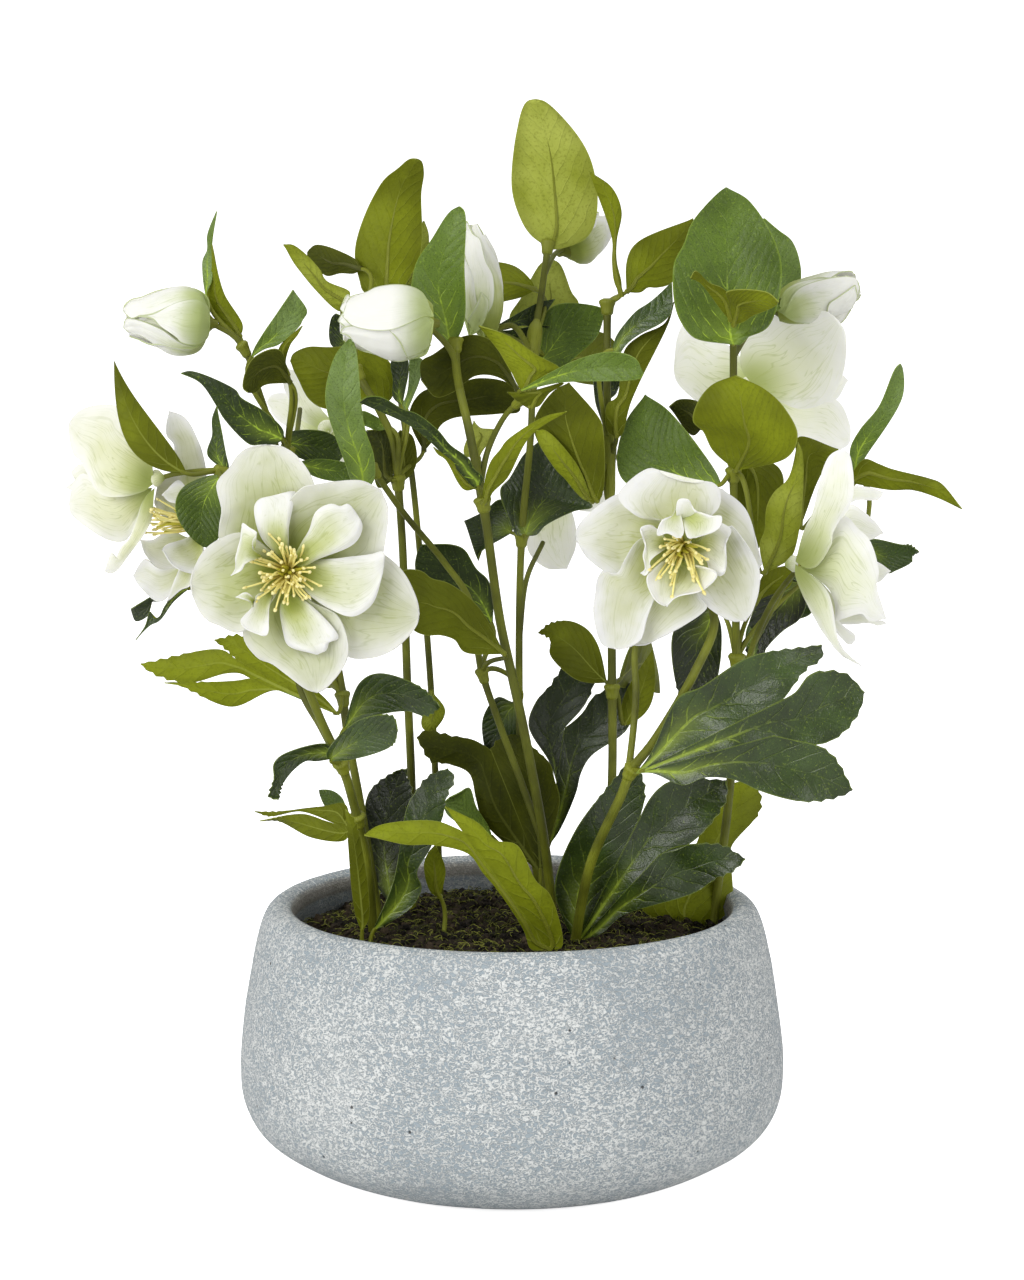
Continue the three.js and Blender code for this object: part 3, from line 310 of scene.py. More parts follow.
# %% [markdown]
# ## Finishes: how a material is put together
#
# A finish is a small program: nodes that turn a place on the surface into a colour, a roughness and a
# bump. `put` adds one node. A `Wire` is the value that leaves it, and the signs between wires add Math
# nodes, so that each finish below reads almost like a sum.

# %% Tools for shader nodes
class Wire:
    """A value on its way from node to node; + - * / with a wire or a number add a Math node."""

    def __init__(self, node, output=0):
        self.socket = node.outputs[output]
        self.tree = node.id_data

    def __add__(self, other):
        return calc("ADD", self, other)

    def __sub__(self, other):
        return calc("SUBTRACT", self, other)

    def __rsub__(self, other):
        return calc("SUBTRACT", other, self)

    def __mul__(self, other):
        return calc("MULTIPLY", self, other)

    def __truediv__(self, other):
        return calc("DIVIDE", self, other)


def put(tree, kind, inputs=None, **settings):
    """Adds a node, then sets or links its inputs: a wire is linked and anything else is a value."""
    made = tree.nodes.new("ShaderNode" + kind)
    for key, value in settings.items():
        setattr(made, key, value)
    for key, value in (inputs or {}).items():
        if isinstance(value, Wire):
            tree.links.new(value.socket, made.inputs[key])
        else:
            made.inputs[key].default_value = value
    return made


def calc(operation, *values):
    """One Math node: the operation applied to one or two values, at least one of them a wire."""
    tree = next(value.tree for value in values if isinstance(value, Wire))
    return Wire(put(tree, "Math", dict(enumerate(values)), operation=operation))


def step(value, low, high):
    """0 below low, 1 above high and a soft step between; low above high turns it round."""
    ends = {"Value": value, "From Min": min(low, high), "From Max": max(low, high)}
    ends.update({"To Min": float(low > high), "To Max": float(low <= high)})
    return Wire(put(value.tree, "MapRange", ends, interpolation_type="SMOOTHSTEP"), "Result")


def from_half(value):
    """How far a value is from one half: it turns the level lines of a noise into thin curls."""
    return calc("ABSOLUTE", value - 0.5)


def times(vector, factors):
    """A vector with each part multiplied by its own factor, to stretch a pattern."""
    return Wire(put(vector.tree, "VectorMath", {0: vector, 1: factors}, operation="MULTIPLY"))


def length(vector):
    """The length of a vector."""
    return Wire(put(vector.tree, "VectorMath", {0: vector}, operation="LENGTH"), "Value")


def noise(place, scale, detail=2.0, distortion=0.0):
    """Cloudy noise between 0 and 1 at a number of blotches to the metre."""
    inputs = {"Vector": place, "Scale": scale, "Detail": detail, "Distortion": distortion}
    return Wire(put(place.tree, "TexNoise", inputs), "Fac")


def point_value(tree, name):
    """A value that the mesh carries at each point."""
    return Wire(put(tree, "Attribute", attribute_name=name), "Fac")


def colour(code):
    """A colour code such as 0x4c6b33, as paint mixers write it, to the light values that a shader uses."""
    parts = np.array([code >> 16 & 255, code >> 8 & 255, code & 255]) / 255
    light = np.where(parts <= 0.04045, parts / 12.92, ((parts + 0.055) / 1.055) ** 2.4)
    return (*light.tolist(), 1)


def tint(mask, first, second):
    """The first colour where the mask is 0 and the second where it is 1; each a wire or a code."""
    first, second = (given if isinstance(given, Wire) else colour(given) for given in (first, second))
    return Wire(put(mask.tree, "Mix", {0: mask, 6: first, 7: second}, data_type="RGBA"), 2)


# %% A material in the making
class Finish:
    """A material with its shader, the places and values its nodes read, and the colour so far."""

    def __init__(self, name, **plain):
        self.material = bpy.data.materials.new(name)
        self.material.use_nodes = True
        self.tree = self.material.node_tree
        self.shader = self.tree.nodes["Principled BSDF"]
        for key, value in plain.items():
            self.shader.inputs[key.replace("_", " ")].default_value = value
        self.place = Wire(put(self.tree, "TexCoord"), "Object")

    def flat(self):
        """The surface's own flat map."""
        return Wire(put(self.tree, "UVMap", uv_map="UVMap"))

    def carried(self, *names):
        """Values that the mesh carries, by name."""
        return [point_value(self.tree, name) for name in names]

    def over(self, mask, code):
        """Lays a colour over the body where the mask is 1."""
        self.body = tint(mask, self.body, code)

    def link(self, **wires):
        """Wires to the shader's sockets."""
        for key, wire in wires.items():
            self.tree.links.new(wire.socket, self.shader.inputs[key.replace("_", " ")])

    def done(self, height, depth, strength, **wires):
        """Colour and bump to the shader; height is in shares of depth, in metres."""
        raised = put(self.tree, "Bump", {"Height": height, "Distance": depth, "Strength": strength})
        self.link(Base_Color=self.body, Normal=Wire(raised), **wires)
        return self.material


# %% [markdown]
# ## Leaf veins
#
# A hellebore leaf has a strong midrib, side veins that leave it at a slant and bend towards the tip,
# and a fine net of grooves between them. Both faces of every leaf show the same veins: sunk in the
# upper face and raised on the underside. So the veins are one shader group. Each leaf's flat map is
# measured in *vein spacings*, along the leaf and out from its midrib, which keeps the veins in scale on
# large leaves and small ones.

# %% The vein group
def vein_group():
    """Veins from the flat map (s along, t across): midrib |t| ~ 0, side veins where s - 1.25|t| is whole."""
    tree = bpy.data.node_groups.new("leaf veins", "ShaderNodeTree")
    tree.interface.new_socket("Map", in_out="INPUT", socket_type="NodeSocketVector")
    for label in ("Veins", "Height", "Middle"):
        tree.interface.new_socket(label, in_out="OUTPUT", socket_type="NodeSocketFloat")
    flat, out = Wire(tree.nodes.new("NodeGroupInput")), tree.nodes.new("NodeGroupOutput")
    parts = put(tree, "SeparateXYZ", {0: flat})
    along = Wire(parts, "X") + noise(flat, 0.9, 1.0) * 0.5
    across = calc("ABSOLUTE", Wire(parts, "Y"))
    right_half = calc("GREATER_THAN", Wire(parts, "Y"), 0.0) * 0.45
    slant = across * 1.25 + across * across * 0.1
    off = calc("PINGPONG", along - slant + right_half, 0.5)
    width = calc("MAXIMUM", 0.1 - along * 0.008, 0.03)
    middle = step(across / width, 1.0, 0.5)
    fade = step(point_value(tree, "edge"), 1.0, 0.7)
    veins = calc("MAXIMUM", middle, step(off, 0.07, 0.02) * fade)
    cells = put(tree, "TexVoronoi", {"Vector": flat, "Scale": 3.3}, feature="DISTANCE_TO_EDGE")
    net = step(Wire(cells, "Distance"), 0.0, 0.25)
    height = off * (1.0 - off) * 2.6 + net * 0.25 - veins * 0.8
    for label, wire in {"Veins": veins, "Height": height, "Middle": middle}.items():
        tree.links.new(wire.socket, out.inputs[label])
    return tree


leaf_veins = vein_group()

# %% [markdown]
# ## Leaf finishes
#
# The upper face is dark and slightly waxy, so it mirrors the pale room; the veins are paler and the
# green drifts from patch to patch and from leaf to leaf (`tone`). The underside is olive and dull, with
# its midrib standing out. Leaves low on the plant are older: darker, glossier, with lime veins.

# %% Leaf finishes
def leaf_start(coat, scale, greens):
    """Four greens, deep to pale, by noise and the leaf's own tone; returns the veins for later."""
    reach, edge, tone = coat.carried(*CARRIED)
    patch = noise(coat.place, scale, 3) * 0.65 + 0.17 + tone
    coat.body = greens[0]
    for green, low, high in zip(greens[1:], (-0.15, 0.3, 0.75), (0.4, 0.75, 1.15)):
        coat.over(step(patch, low, high), green)
    veins = put(coat.tree, "Group", node_tree=leaf_veins)
    coat.tree.links.new(coat.flat().socket, veins.inputs["Map"])
    return reach, edge, tone, *(Wire(veins, label) for label in ("Veins", "Height", "Middle"))


def leaf_upper(name, greens, vein, vein_share, heart_share, roughness, shine):
    """Waxy green with fine specks; pale veins, strong near the base and broken further out."""
    coat = Finish(name, Specular_IOR_Level=shine, Sheen_Weight=0.05, Sheen_Roughness=0.5)
    reach, edge, _, veins, relief, middle = leaf_start(coat, 60, greens)
    place = coat.place
    near = step(reach, 0.62, 0.0)
    coat.over(step(noise(place, 1700), 0.5, 0.3) * 0.45, greens[0])
    coat.over(step(reach, 0.52, 0.0) * step(edge, 0.9, 0.0) * heart_share, vein)
    coat.over(step(noise(place, 1100, 1), 0.62, 0.74) * 0.24, vein)
    coat.over(step(edge, 0.95, 1.0) * 0.3, vein)
    broken = step(noise(place, 260), 0.38, 0.6)
    share = (near * vein_share + 0.06) * (1.8 - edge)
    coat.over(calc("MAXIMUM", veins * broken * share, middle * near * 0.55), vein)
    height = relief * 0.3 + noise(place, 75) + noise(place, 1500) * 0.22
    return coat.done(height, 0.0016, 0.5, Roughness=noise(place, 400) * 0.16 + (roughness - 0.08))


def leaf_under(name, greens, vein):
    """Dull olive, deeper towards the margin; a raised midrib fading towards the tip; a painted rim highlight.
    """
    coat = Finish(name, Specular_IOR_Level=0.15, Sheen_Weight=0.02, Sheen_Roughness=0.6)
    reach, edge, tone, veins, relief, middle = leaf_start(coat, 45, greens)
    place = coat.place
    coat.over(step(edge, 0.45, 1.0) * 0.3, greens[1])
    coat.over(step(noise(place, 900), 0.5, 0.7) * 0.3, greens[1])
    lit = step(tone, -0.8, 0.2) * 0.5
    side = veins * step(reach, 0.4, 0.1) * 0.25
    coat.over(calc("MAXIMUM", side, middle * step(reach, 1.0, 0.1) * lit), vein)
    # painted highlight: a thin pale line along the rim
    coat.over(step(edge, 0.96, 1.0) * 0.4, vein)
    return coat.done(noise(place, 80) - relief * 0.35, 0.0012, 0.5, Roughness=noise(place, 500) * 0.2 + 0.5)


green_upper = leaf_upper("leaf_upper", (0x1E2C04, 0x3C500A, 0x58701C, 0x748A4C), 0x9CB636,
                         vein_share=1.1, heart_share=0.42, roughness=0.44, shine=0.32)
dark_upper = leaf_upper("leaf_upper_old", (0x141C04, 0x202E06, 0x3C5218, 0x566A30), 0x92A630,
                        vein_share=0.6, heart_share=0.66, roughness=0.32, shine=0.5)
olive_under = leaf_under("leaf_under", (0x282E00, 0x545A00, 0x7E8810, 0xA8B04E), 0xA6AE50)
print("leaf finishes:", [made.name for made in (green_upper, dark_upper, olive_under)])

# %% [markdown]
# ## Petal finishes
#
# The sepals are thick and silky, white at the rim and green where they join, with fine ribs that fan
# out from the base. A little light goes into them, which softens their shadows. Their backs, which are
# paler, carry a painted glow: an emission in their own colour that stands for light coming through them.
# The same finish, with its own share of green each time, serves the small inner petals and the buds.

# %% Petal finishes
SILK = {"Roughness": 0.6, "Subsurface_Weight": 0.15, "Subsurface_Scale": 0.003,
        "Subsurface_Radius": (1.0, 0.95, 0.6), "Specular_IOR_Level": 0.2, "Sheen_Weight": 0.1,
        "Sheen_Roughness": 0.4}


def petal_finish(name, white, base, vein, flush, through=0.0, line=0.0):
    """White at the rim and the base colour along the middle, under thin green veins; through is a painted
    glow.
    """
    coat = Finish(name, Emission_Strength=through, **SILK)
    reach, edge, tone = coat.carried(*CARRIED)
    cloud = noise(coat.place, 90, 3)
    far = reach * 0.85 + calc("POWER", edge, 3.0) * 0.45 + (cloud - 0.5) * 0.5 + tone
    coat.body = tint(step(far, flush, 0.05) * 0.95, white, base)
    flat = coat.flat()
    fan = from_half(noise(times(flat, (2.2, 16.0, 1.0)), 1.0, 1.5, 0.6))
    coat.over(step(fan, 0.035, 0.0) * step(far, flush + 0.2, 0.2) * 0.4, vein)
    coat.over(step(reach, 0.46, 0.05) * 0.9, vein)
    coat.over(step(edge, 0.94, 0.99) * line, vein)
    ribs = noise(times(flat, (0.5, 30.0, 1.0)), 1.0)
    return coat.done(ribs * 0.6 + cloud, 0.0006, 0.35, Emission_Color=coat.body)


# through is painted light: a glow in each finish's own colour, standing for light coming through the petals
sepal_face = petal_finish("sepal_face", 0xDCDCD8, 0xAAB05C, 0x929C44, 1.06)
sepal_deep = petal_finish("sepal_deep", 0xD8D8D0, 0x9CA648, 0x7E8A30, 1.22)
sepal_back = petal_finish("sepal_back", 0xE0E0D6, 0xBABE84, 0x8A964A, 1.05, through=0.12)
# The next two are paler copies of the back finish with a stronger painted glow: painted light for blossoms in
# shade
sepal_far_painted_glow = petal_finish("sepal_far_painted_glow", 0xE4E4DE, 0xD2D6B2, 0x9EAA60, 1.0, through=0.3)
sepal_pale_painted_glow = petal_finish("sepal_pale_painted_glow", 0xE4E4DE, 0xCAD0A2, 0x96A254, 1.0, through=0.15)
inner_petal = petal_finish("inner_petal", 0xE6E6E0, 0xA8B254, 0x8A963C, 1.0)
bud_petal = petal_finish("bud_petal", 0xDEDED6, 0xBCC48E, 0x96A460, 0.65, through=0.12, line=0.7)


# %% Stamen finishes
def thread_finish(name, low, high, roughness, scale=300):
    """One colour at the foot and another at the tip, with a mottle."""
    coat = Finish(name, Roughness=roughness, Specular_IOR_Level=0.3)
    cloud = noise(coat.place, scale)
    reach, = coat.carried("reach")
    coat.body = tint(step(reach + cloud * 0.5, 0.2, 1.1), low, high)
    return coat.done(cloud, 0.0004, 0.4)


filament = thread_finish("filament", 0xC0AA30, 0xF4EA98, 0.6)
anther = thread_finish("anther", 0xE2D070, 0xF0E6A4, 0.7, 900)
carpel = thread_finish("carpel", 0x8E8818, 0xB8B23C, 0.55)

# %% [markdown]
# ## Stem finish
#
# The stems are olive, in slow patches of a darker and a lighter one, and faintly ribbed. The ribs follow
# the stem, so they read the stem's own flat map: one direction runs along it.

# %% Stem finish
def stem_finish(name, dark, light):
    """Ribs from noise stretched along the stem, under slow patches of a darker green."""
    coat = Finish(name, Roughness=0.5, Specular_IOR_Level=0.35)
    tone, = coat.carried("tone")
    ribs = noise(times(coat.flat(), (1.5, 14.0, 1.0)), 1.0)
    coat.body = tint(step(noise(coat.place, 45, 3) + tone, 0.25, 0.8), dark, light)
    coat.over(step(ribs, 0.45, 0.75) * 0.3, dark)
    return coat.done(ribs, 0.0007, 0.6)


stem_green = stem_finish("stem", 0x4A4E06, 0x7E8420)
print("stem and flower finishes made")

# %% [markdown]
# ## Pot finish
#
# The pot looks like cast stone: a blue-grey body under a broken cream wash that has run into short
# curls a millimetre or two wide, with a few dark pits. The inside is darkened with painted shade, and a
# thin brown line runs round the inner side of the lip. The curls are noise bent by noise, cut off sharply.

# %% Pot finish
LIP_INNER = 0.0925
LIP_BOTTOM = 0.108


def pot_finish():
    """Cream curls over blue-grey: a stretched, distorted noise cut by a step, plus rare dark pits."""
    coat = Finish("pot_wash", Specular_IOR_Level=0.3)
    place, (inside,) = coat.place, coat.carried("reach")
    squashed = times(place, (1.0, 1.0, 1.5))
    fine = noise(place, 1500, 2, 0.6)
    curls = step(from_half(noise(squashed, 430, 2, 1.0)), 0.1, 0.02)
    wash = step(fine * 0.4 + curls * 0.45 + noise(place, 18) * 0.5, 0.42, 0.88)
    coat.body = tint(wash, 0x9BA6AD, 0xDEE0DE)
    coat.over(step(from_half(noise(squashed, 620, 2, 1.4)), 0.045, 0.005) * 0.5, 0x717A82)
    coat.over(step(fine, 0.45, 0.75) * 0.25, 0xB4BABC)
    cells = put(coat.tree, "TexVoronoi", {"Vector": place, "Scale": 170})
    lot = Wire(put(coat.tree, "SeparateColor", {0: Wire(cells, "Color")}))
    pit = step(Wire(cells, "Distance"), 0.13, 0.08) * calc("GREATER_THAN", lot, 0.94)
    coat.over(pit * 0.85, 0x2E2C2A)
    # painted shade: the inside of the pot is darkened as if in shadow
    coat.over(step(inside, 0.49, 0.5) * 0.45, 0x60686E)
    radius = length(times(place, (1, 1, 0)))
    height = Wire(put(coat.tree, "SeparateXYZ", {0: place}), "Z")
    lip = step(radius, LIP_INNER - 0.0012, LIP_INNER - 0.0004)
    lip = lip * step(radius, LIP_INNER + 0.0016, LIP_INNER + 0.0006)
    coat.over(lip * step(height, LIP_BOTTOM, LIP_BOTTOM + 0.002) * 0.6, 0x7A6E5C)
    return coat.done(wash + fine * 0.5 - pit * 2.0, 0.0006, 0.8, Roughness=0.78 - wash * 0.16)


pot_wash = pot_finish()


# %% Soil finishes
def crumb_finish(name, dark, light, roughness):
    """Damp crumbs: dark with lighter grains."""
    coat = Finish(name, Roughness=roughness, Specular_IOR_Level=0.2)
    tone, = coat.carried("tone")
    grains = noise(coat.place, 900, 3)
    share = grains * 0.6 + noise(coat.place, 120, 3) * 0.5 + tone
    coat.body = tint(step(share, 0.4, 0.8), dark, light)
    return coat.done(grains, 0.0009, 0.8)


soil_dark = crumb_finish("soil", 0x120F0A, 0x42382A, 0.95)
moss = crumb_finish("moss", 0x3A3E16, 0x7E8038, 0.8)
print("pot and soil finishes made")

# %% [markdown]
# ## Stems
#
# Each stem is a wire sleeved in soft plastic. A smooth curve through a few bends gives its path, and a
# round section is swept along it, a touch thicker wherever leaves join. Side shoots start exactly on
# the stem that carries them.

# %% The stems, by name: a thickness and the bends of the main shoot, then of each side shoot
stems = {
    "stem_front_left": [
        (2.1, [(-58, -126, -8), (-61, -92, -18), (-67, -67, -30), (-71, -54, -38), (-81, -32, -48),
         (-90, -8, -58), (-93, 15, -62), (-93, 28, -71.5)]),
        (1.5, [(-71, -57, -38), (-80, -37, -34), (-89, -20, -28), (-93, 17, -16), (-96, 50, -8),
         (-99, 81, -6), (-107, 107, -2), (-110, 117, 0), (-116, 127, 0), (-126, 133, 0)]),
        (1.3, [(-96, 59, -8), (-108, 66, -20), (-122, 71, -34), (-140, 70, -36), (-148, 68, -34)]),
        (1.3, [(-94, 34, -12), (-114, 46, -24), (-126, 49, -26)]),
    ],
    "stem_left": [
        (1.9, [(-55, -122, 4), (-64, -67, -4), (-69, -40, -8), (-73, -12, -6), (-81, 17, 2), (-89, 46, 2),
         (-94, 78, -4)]),
        (1.3, [(-91, 56, 1), (-91, 78, 24), (-89, 97, 49.5)]),
    ],
    "stem_middle_left": [
        (2, [(-42, -116, 34), (-42, -67, 28), (-44, -17, 18), (-46, 40, 4), (-48, 67, 0), (-50, 84, 0),
         (-55, 95, 0), (-65, 112, 4)]),
    ],
    "stem_back_left": [
        (1.6, [(-30, -109, 56), (-34, -21, 36), (-39, 40, 22), (-42, 69, 18), (-45, 89, 16), (-49, 118, 22),
         (-50, 146, 30)]),
    ],
    "stem_middle": [
        (2.2, [(18, -126, 0), (14, -88, -6), (5, -38, -12), (0, -15, -15), (-5, 8, -16), (-11, 50, -16),
         (-14, 67, -14), (-18, 88, -10), (-23, 111, -5), (-24, 124, -2)]),
        (1.4, [(-13, 63, -14), (-10, 80, -8), (-3, 94, -10), (3, 100, -14)]),
        (1.5, [(-22, 105, -6), (-25, 120, -12), (-34, 131, -24)]),
        (1.6, [(14, -88, -6), (1, -52, -2), (-5, -36, 0), (-13, -12, 0), (-18, 17, 2), (-28, 32, 6),
         (-46, 54, -10), (-58, 71, -18)]),
    ],
    "stem_tall": [
        (1.8, [(14, -122, 26), (4, -50, 20), (3, -17, 20), (4, 42, 22), (8, 88, 22), (9, 124, 34),
         (12, 143, 48), (15, 165, 60)]),
        (1.3, [(4, 0, 20), (6, 25, 40), (13, 41, 60)]),
        (1.4, [(9, 118, 30), (0, 132, 30), (-11, 128, 28)]),
        (1.3, [(14, 153, 54), (18, 162, 68), (23, 165, 76)]),
    ],
    "stem_middle_right": [
        (2, [(38, -122, 18), (42, -59, 14), (42, -17, 14), (41, 59, 12), (40, 101, 14), (40, 140, 18)]),
    ],
    "stem_front_right": [
        (2.2, [(26, -129, -26), (33, -94, -38), (46, -65, -52), (50, -55, -56), (60, -42, -62),
         (77, -13, -70), (85, 8, -70), (78, 26, -68), (73, 38, -75)]),
        (1.6, [(49, -58, -54), (52, -25, -44), (52, -2, -36), (62, 25, -20), (84, 59, -4)]),
    ],
    "stem_right": [
        (2, [(84, -122, 16), (91, -67, 16), (94, -25, 12), (94, 8, 8), (93, 68, 2), (93, 123, -2),
         (93, 134, -4)]),
        (1.5, [(91, -63, 16), (95, -25, 0), (102, 0, -4), (110, 17, -14), (120, 30, -28)]),
        (1.4, [(102, 0, -2), (121, 34, 18), (137, 57, 20), (143, 67, 14)]),
        (1.4, [(93, 34, 6), (99, 67, 34), (101, 101, 52)]),
        (1.3, [(93, 118, 0), (101, 131, 22), (112, 139, 36)]),
    ],
}

# %% Shoots and tubes
STEM_SIDES = 10
PATH_POINTS = 70
CENTIMETRES = 100


def nearest(path, place):
    """The index of the path point closest to a place."""
    return int(np.argmin(np.linalg.norm(path - place, axis=1)))


def shoots(routes):
    """The smooth paths of a stem and its side shoots; each side shoot starts on an earlier path."""
    paths = []
    for _, route in routes:
        bends = sight(*np.transpose(route))
        if paths:
            starts = [path[nearest(path, bends[0])] for path in paths]
            bends[0] = min(starts, key=lambda start: np.linalg.norm(start - bends[0]))
        paths.append(curve_through(bends, PATH_POINTS))
    return paths


def tube(path, radii, sides=STEM_SIDES, tone=0.0, finish=0):
    """A swept round section whose flat map runs in centimetres along it and mirrors round it."""
    mirrored = 1 - np.abs(2 * np.arange(sides) / sides - 1)
    uv = paired(CENTIMETRES * run_of(path)[:, None], mirrored)
    return skin(rings_round(path, radii, sides), uv, np.linspace(0, 1, len(path)), tone, finish)


stem_paths = {name: shoots(routes) for name, routes in stems.items()}
nodes_on = {name: [] for name in stems}
print("paths:", sum(len(paths) for paths in stem_paths.values()))

# %% [markdown]
# ## Leaves by formula
#
# A leaf is a thin sheet bent along a curve that leaves the stalk, passes the middle and ends in the
# tip. The simplest ones, mostly at the back, are plain ovals, narrow or broad. Two things keep them
# from looking cut from card: the halves rise from a soft crease along the midrib, and the margin waves
# a little, out of step on the two sides. The sheet has a real thickness and a finish for each face.

# %% A leaf by formula
OUTLINES = {"oval": (0.85, 0.75), "lance": (0.8, 1.0), "broad": (0.9, 0.6)}
LEAF_THICKNESS = 0.0005
VEIN_PAIRS = 9
LEAF_GRID = (44, 15)
CREASE = 0.16
FOLD = math.radians(12)


def formula_leaf(kind, face, base, middle, tip, width, *, rng, tone):
    """A bent sheet with half width = width / 2 * sin(pi t^power)^swell at share t of its length."""
    t, v = grid(*LEAF_GRID)
    power, swell = OUTLINES[kind]
    base, middle, tip = (sight(*place) for place in (base, middle, tip))
    pull = 2 * middle - (base + tip) / 2
    place = (1 - t) ** 2 * base + 2 * t * (1 - t) * pull + t ** 2 * tip
    side = unit(np.cross(tip - base, unit(MM * eye - middle))) * (-1 if face == "under" else 1)
    up = np.cross(side, unit((1 - t) * (pull - base) + t * (tip - pull)))
    half = MM * width / 2 * np.maximum(np.sin(math.pi * t ** power), 0.01) ** swell
    sway = rng.uniform(*ANY_PHASE, 2)
    ruffle = np.sin(t * rng.uniform(9, 15) + np.where(v < 0, *sway)) * np.abs(v) ** 2.5
    crease = np.sqrt(v ** 2 + CREASE ** 2) - CREASE
    lift = half * (math.sin(FOLD) * crease + rng.uniform(-0.1, 0.16) * v ** 2 + 0.07 * ruffle)
    across = half * v * math.cos(FOLD)
    points = place[:, None] + side * across[..., None] + up[:, None] * lift[..., None]
    uv = VEIN_PAIRS * paired(t, across / np.linalg.norm(tip - base))
    return [sheet(points, LEAF_THICKNESS, (0, 1), uv, reach=t, edge=np.abs(v), tone=tone)], points


# %% [markdown]
# ## Leaves by outline
#
# Most leaves twist, fold or cup, and the low ones are cut into fingers, so their edge isn't a plain
# oval. Their outlines are given point by point in mm, as the eye sees them: for each finger the edge up
# to its tip, the tip, and the edge down again. Two fingers share the line from the base to the cut
# between them. Each finger dips to its own midrib and lies level with its neighbour along the shared
# line, so the blade stays one surface; past the cut the tips are free to bend, and old leaves end in
# teeth. A leaf folded on its midrib is two outlines, one for each face that the eye sees. Petals use
# the same outlines, with a single finger.

# %% Outlines on the pane
CUT_STEPS = 20
CUT_CURVE = 150
PLAIN_CURVE = 170


def pairs(flat):
    """A flat list of numbers, two for each point, as an array of points."""
    return np.reshape(np.array(flat, float), (-1, 2))


def edge_line(points, straight, count):
    """A pane curve: an optional straight run from the base to a cut, then a smooth line to the tip."""
    points = np.array(points, float)
    if not straight:
        return evenly(curve_through(points, PLAIN_CURVE), count)
    run = lerp(points[0], points[1], np.linspace(0, 1, CUT_STEPS)[:-1, None])
    return evenly(np.vstack([run, curve_through(points[1:], CUT_CURVE)]), count)


def outline(rows, base, before, tip, after, cut=(), split=False):
    """Both edges of a blade: by the points before the tip, after any cut, and back by those after it."""
    left = edge_line([base, *cut, *pairs(before), tip], len(cut) > 0, rows)
    return left, edge_line([base, *pairs(after)[::-1], tip], split, rows)


def half_width(left, right):
    """Half the distance between the two edges, row by row."""
    return np.linalg.norm(right - left, axis=1)[:, None] / 2


def between(left, right, v):
    """A grid of pane points on straight rows: the left edge where v is -1, the right where it is 1."""
    return lerp(left[:, None], right[:, None], ((v + 1) / 2)[..., None])


def depth(backs, away):
    """How far back a blade lies: the parabola through its distances at the base, halfway and the tip."""
    first, halfway, last = backs
    return first + (4 * halfway - 3 * first - last) * away + 2 * (first + last - 2 * halfway) * away ** 2


# %% The kinds of outlined leaf: the finish of the upper face, a tone (+ is paler), and tooth depth
LEAF_KINDS = {
    "pale": (0, 0.45, 0),
    "plain": (0, 0.0, 0),
    "dark": (0, -0.5, 0),
    "old": (3, 0.0, 0),
    "cut": (3, 0.0, 0.55),
    # shade is painted shade: a darker tone for leaves that lie in shadow deep in the plant
    "shade": (3, -0.45, 0.55),
}
BLADE_GRID = (56, 13)
VALLEY = 0.2
VALLEY_ROUND = 0.03  # the square of the share of the half width over which the valley is rounded
CURL = 6
BUCKLE = (1.1, 0.02)  # mm, and mm more for each mm of an old leaf
WHOLE = 0.15  # a leaf without cuts is free to bend from here on
LEAST_HALF = 2
MIDRIB = (0.0012, 0.0002)
MIDRIB_END = 0.78


def outlined_leaf(kind, face, backs, base, *edges, rng, tone):
    """Each finger is a grid between its two edges; back follows a curve of the distance from the base."""
    upper, shade, tooth = LEAF_KINDS[kind]
    under = face == "under"
    sign = -1 if under else 1
    fingers = [edges[number:number + 3] for number in range(0, len(edges), 3)]
    shared = [pairs(after)[-1] for _, _, after in fingers[:-1]]
    longest = max(math.dist(tip, base) for _, tip, _ in fingers)
    rows, columns = BLADE_GRID
    t, v = grid(rows, columns)
    swell = rng.uniform(*ANY_PHASE, 4)
    made, grids = [], []
    for number, (before, tip, after) in enumerate(fingers):
        cut, next_cut = shared[max(number - 1, 0):number], shared[number:number + 1]
        left, right = outline(rows, base, before, tip, after, cut, len(next_cut) > 0)
        long = math.dist(tip, base)
        free = max([math.dist(place, base) / long for place in cut + next_cut], default=WHOLE)
        free = ease((t - free) / 0.3)
        wide = half_width(left, right)
        teeth = tooth * (np.arange(rows) % 3 - 1)[:, None] * ease((t - 0.72) * 7) * v * np.abs(v) ** 3
        flat = between(left, right, v + teeth / np.maximum(wide, LEAST_HALF))
        x, y = flat[..., 0], flat[..., 1]
        away = np.linalg.norm(flat - base, axis=-1) / longest
        buckle = np.sin(x * 0.13 + swell[0]) * np.sin(y * 0.11 + swell[1]) * np.sin(math.pi * away.clip(0, 1))
        back = depth(backs, away) + (BUCKLE[0] + BUCKLE[1] * longest * (upper > 0)) * buckle
        crease = 1 - (np.sqrt(v ** 2 + VALLEY_ROUND) - 0.173) / 0.842
        back = back + sign * VALLEY * wide * crease * ease(t * 5)
        curl = rng.uniform(-0.5, 0.9) * t ** 3 + rng.uniform(-0.25, 0.25) * v * t
        wave = np.sin(t * rng.uniform(10, 15) + np.where(v < 0, *swell[2:])) * np.abs(v) ** 2
        back = back + free * (sign * CURL * curl + 0.09 * wide * wave)
        points = sight(x, y, back)
        uv = VEIN_PAIRS * paired(t, wide * v / long)
        faces = (1, upper) if under else (upper, 1)
        made.append(sheet(points, LEAF_THICKNESS, faces, uv, reach=t, edge=np.abs(v), tone=tone + shade))
        grids.append(points)
        if under and not tooth:
            line = points[:int(rows * MIDRIB_END), columns // 2]
            made.append(tube(line, np.linspace(*MIDRIB, len(line)), 6, 0.3 + shade, 2))
    return made, grids[len(grids) // 2]


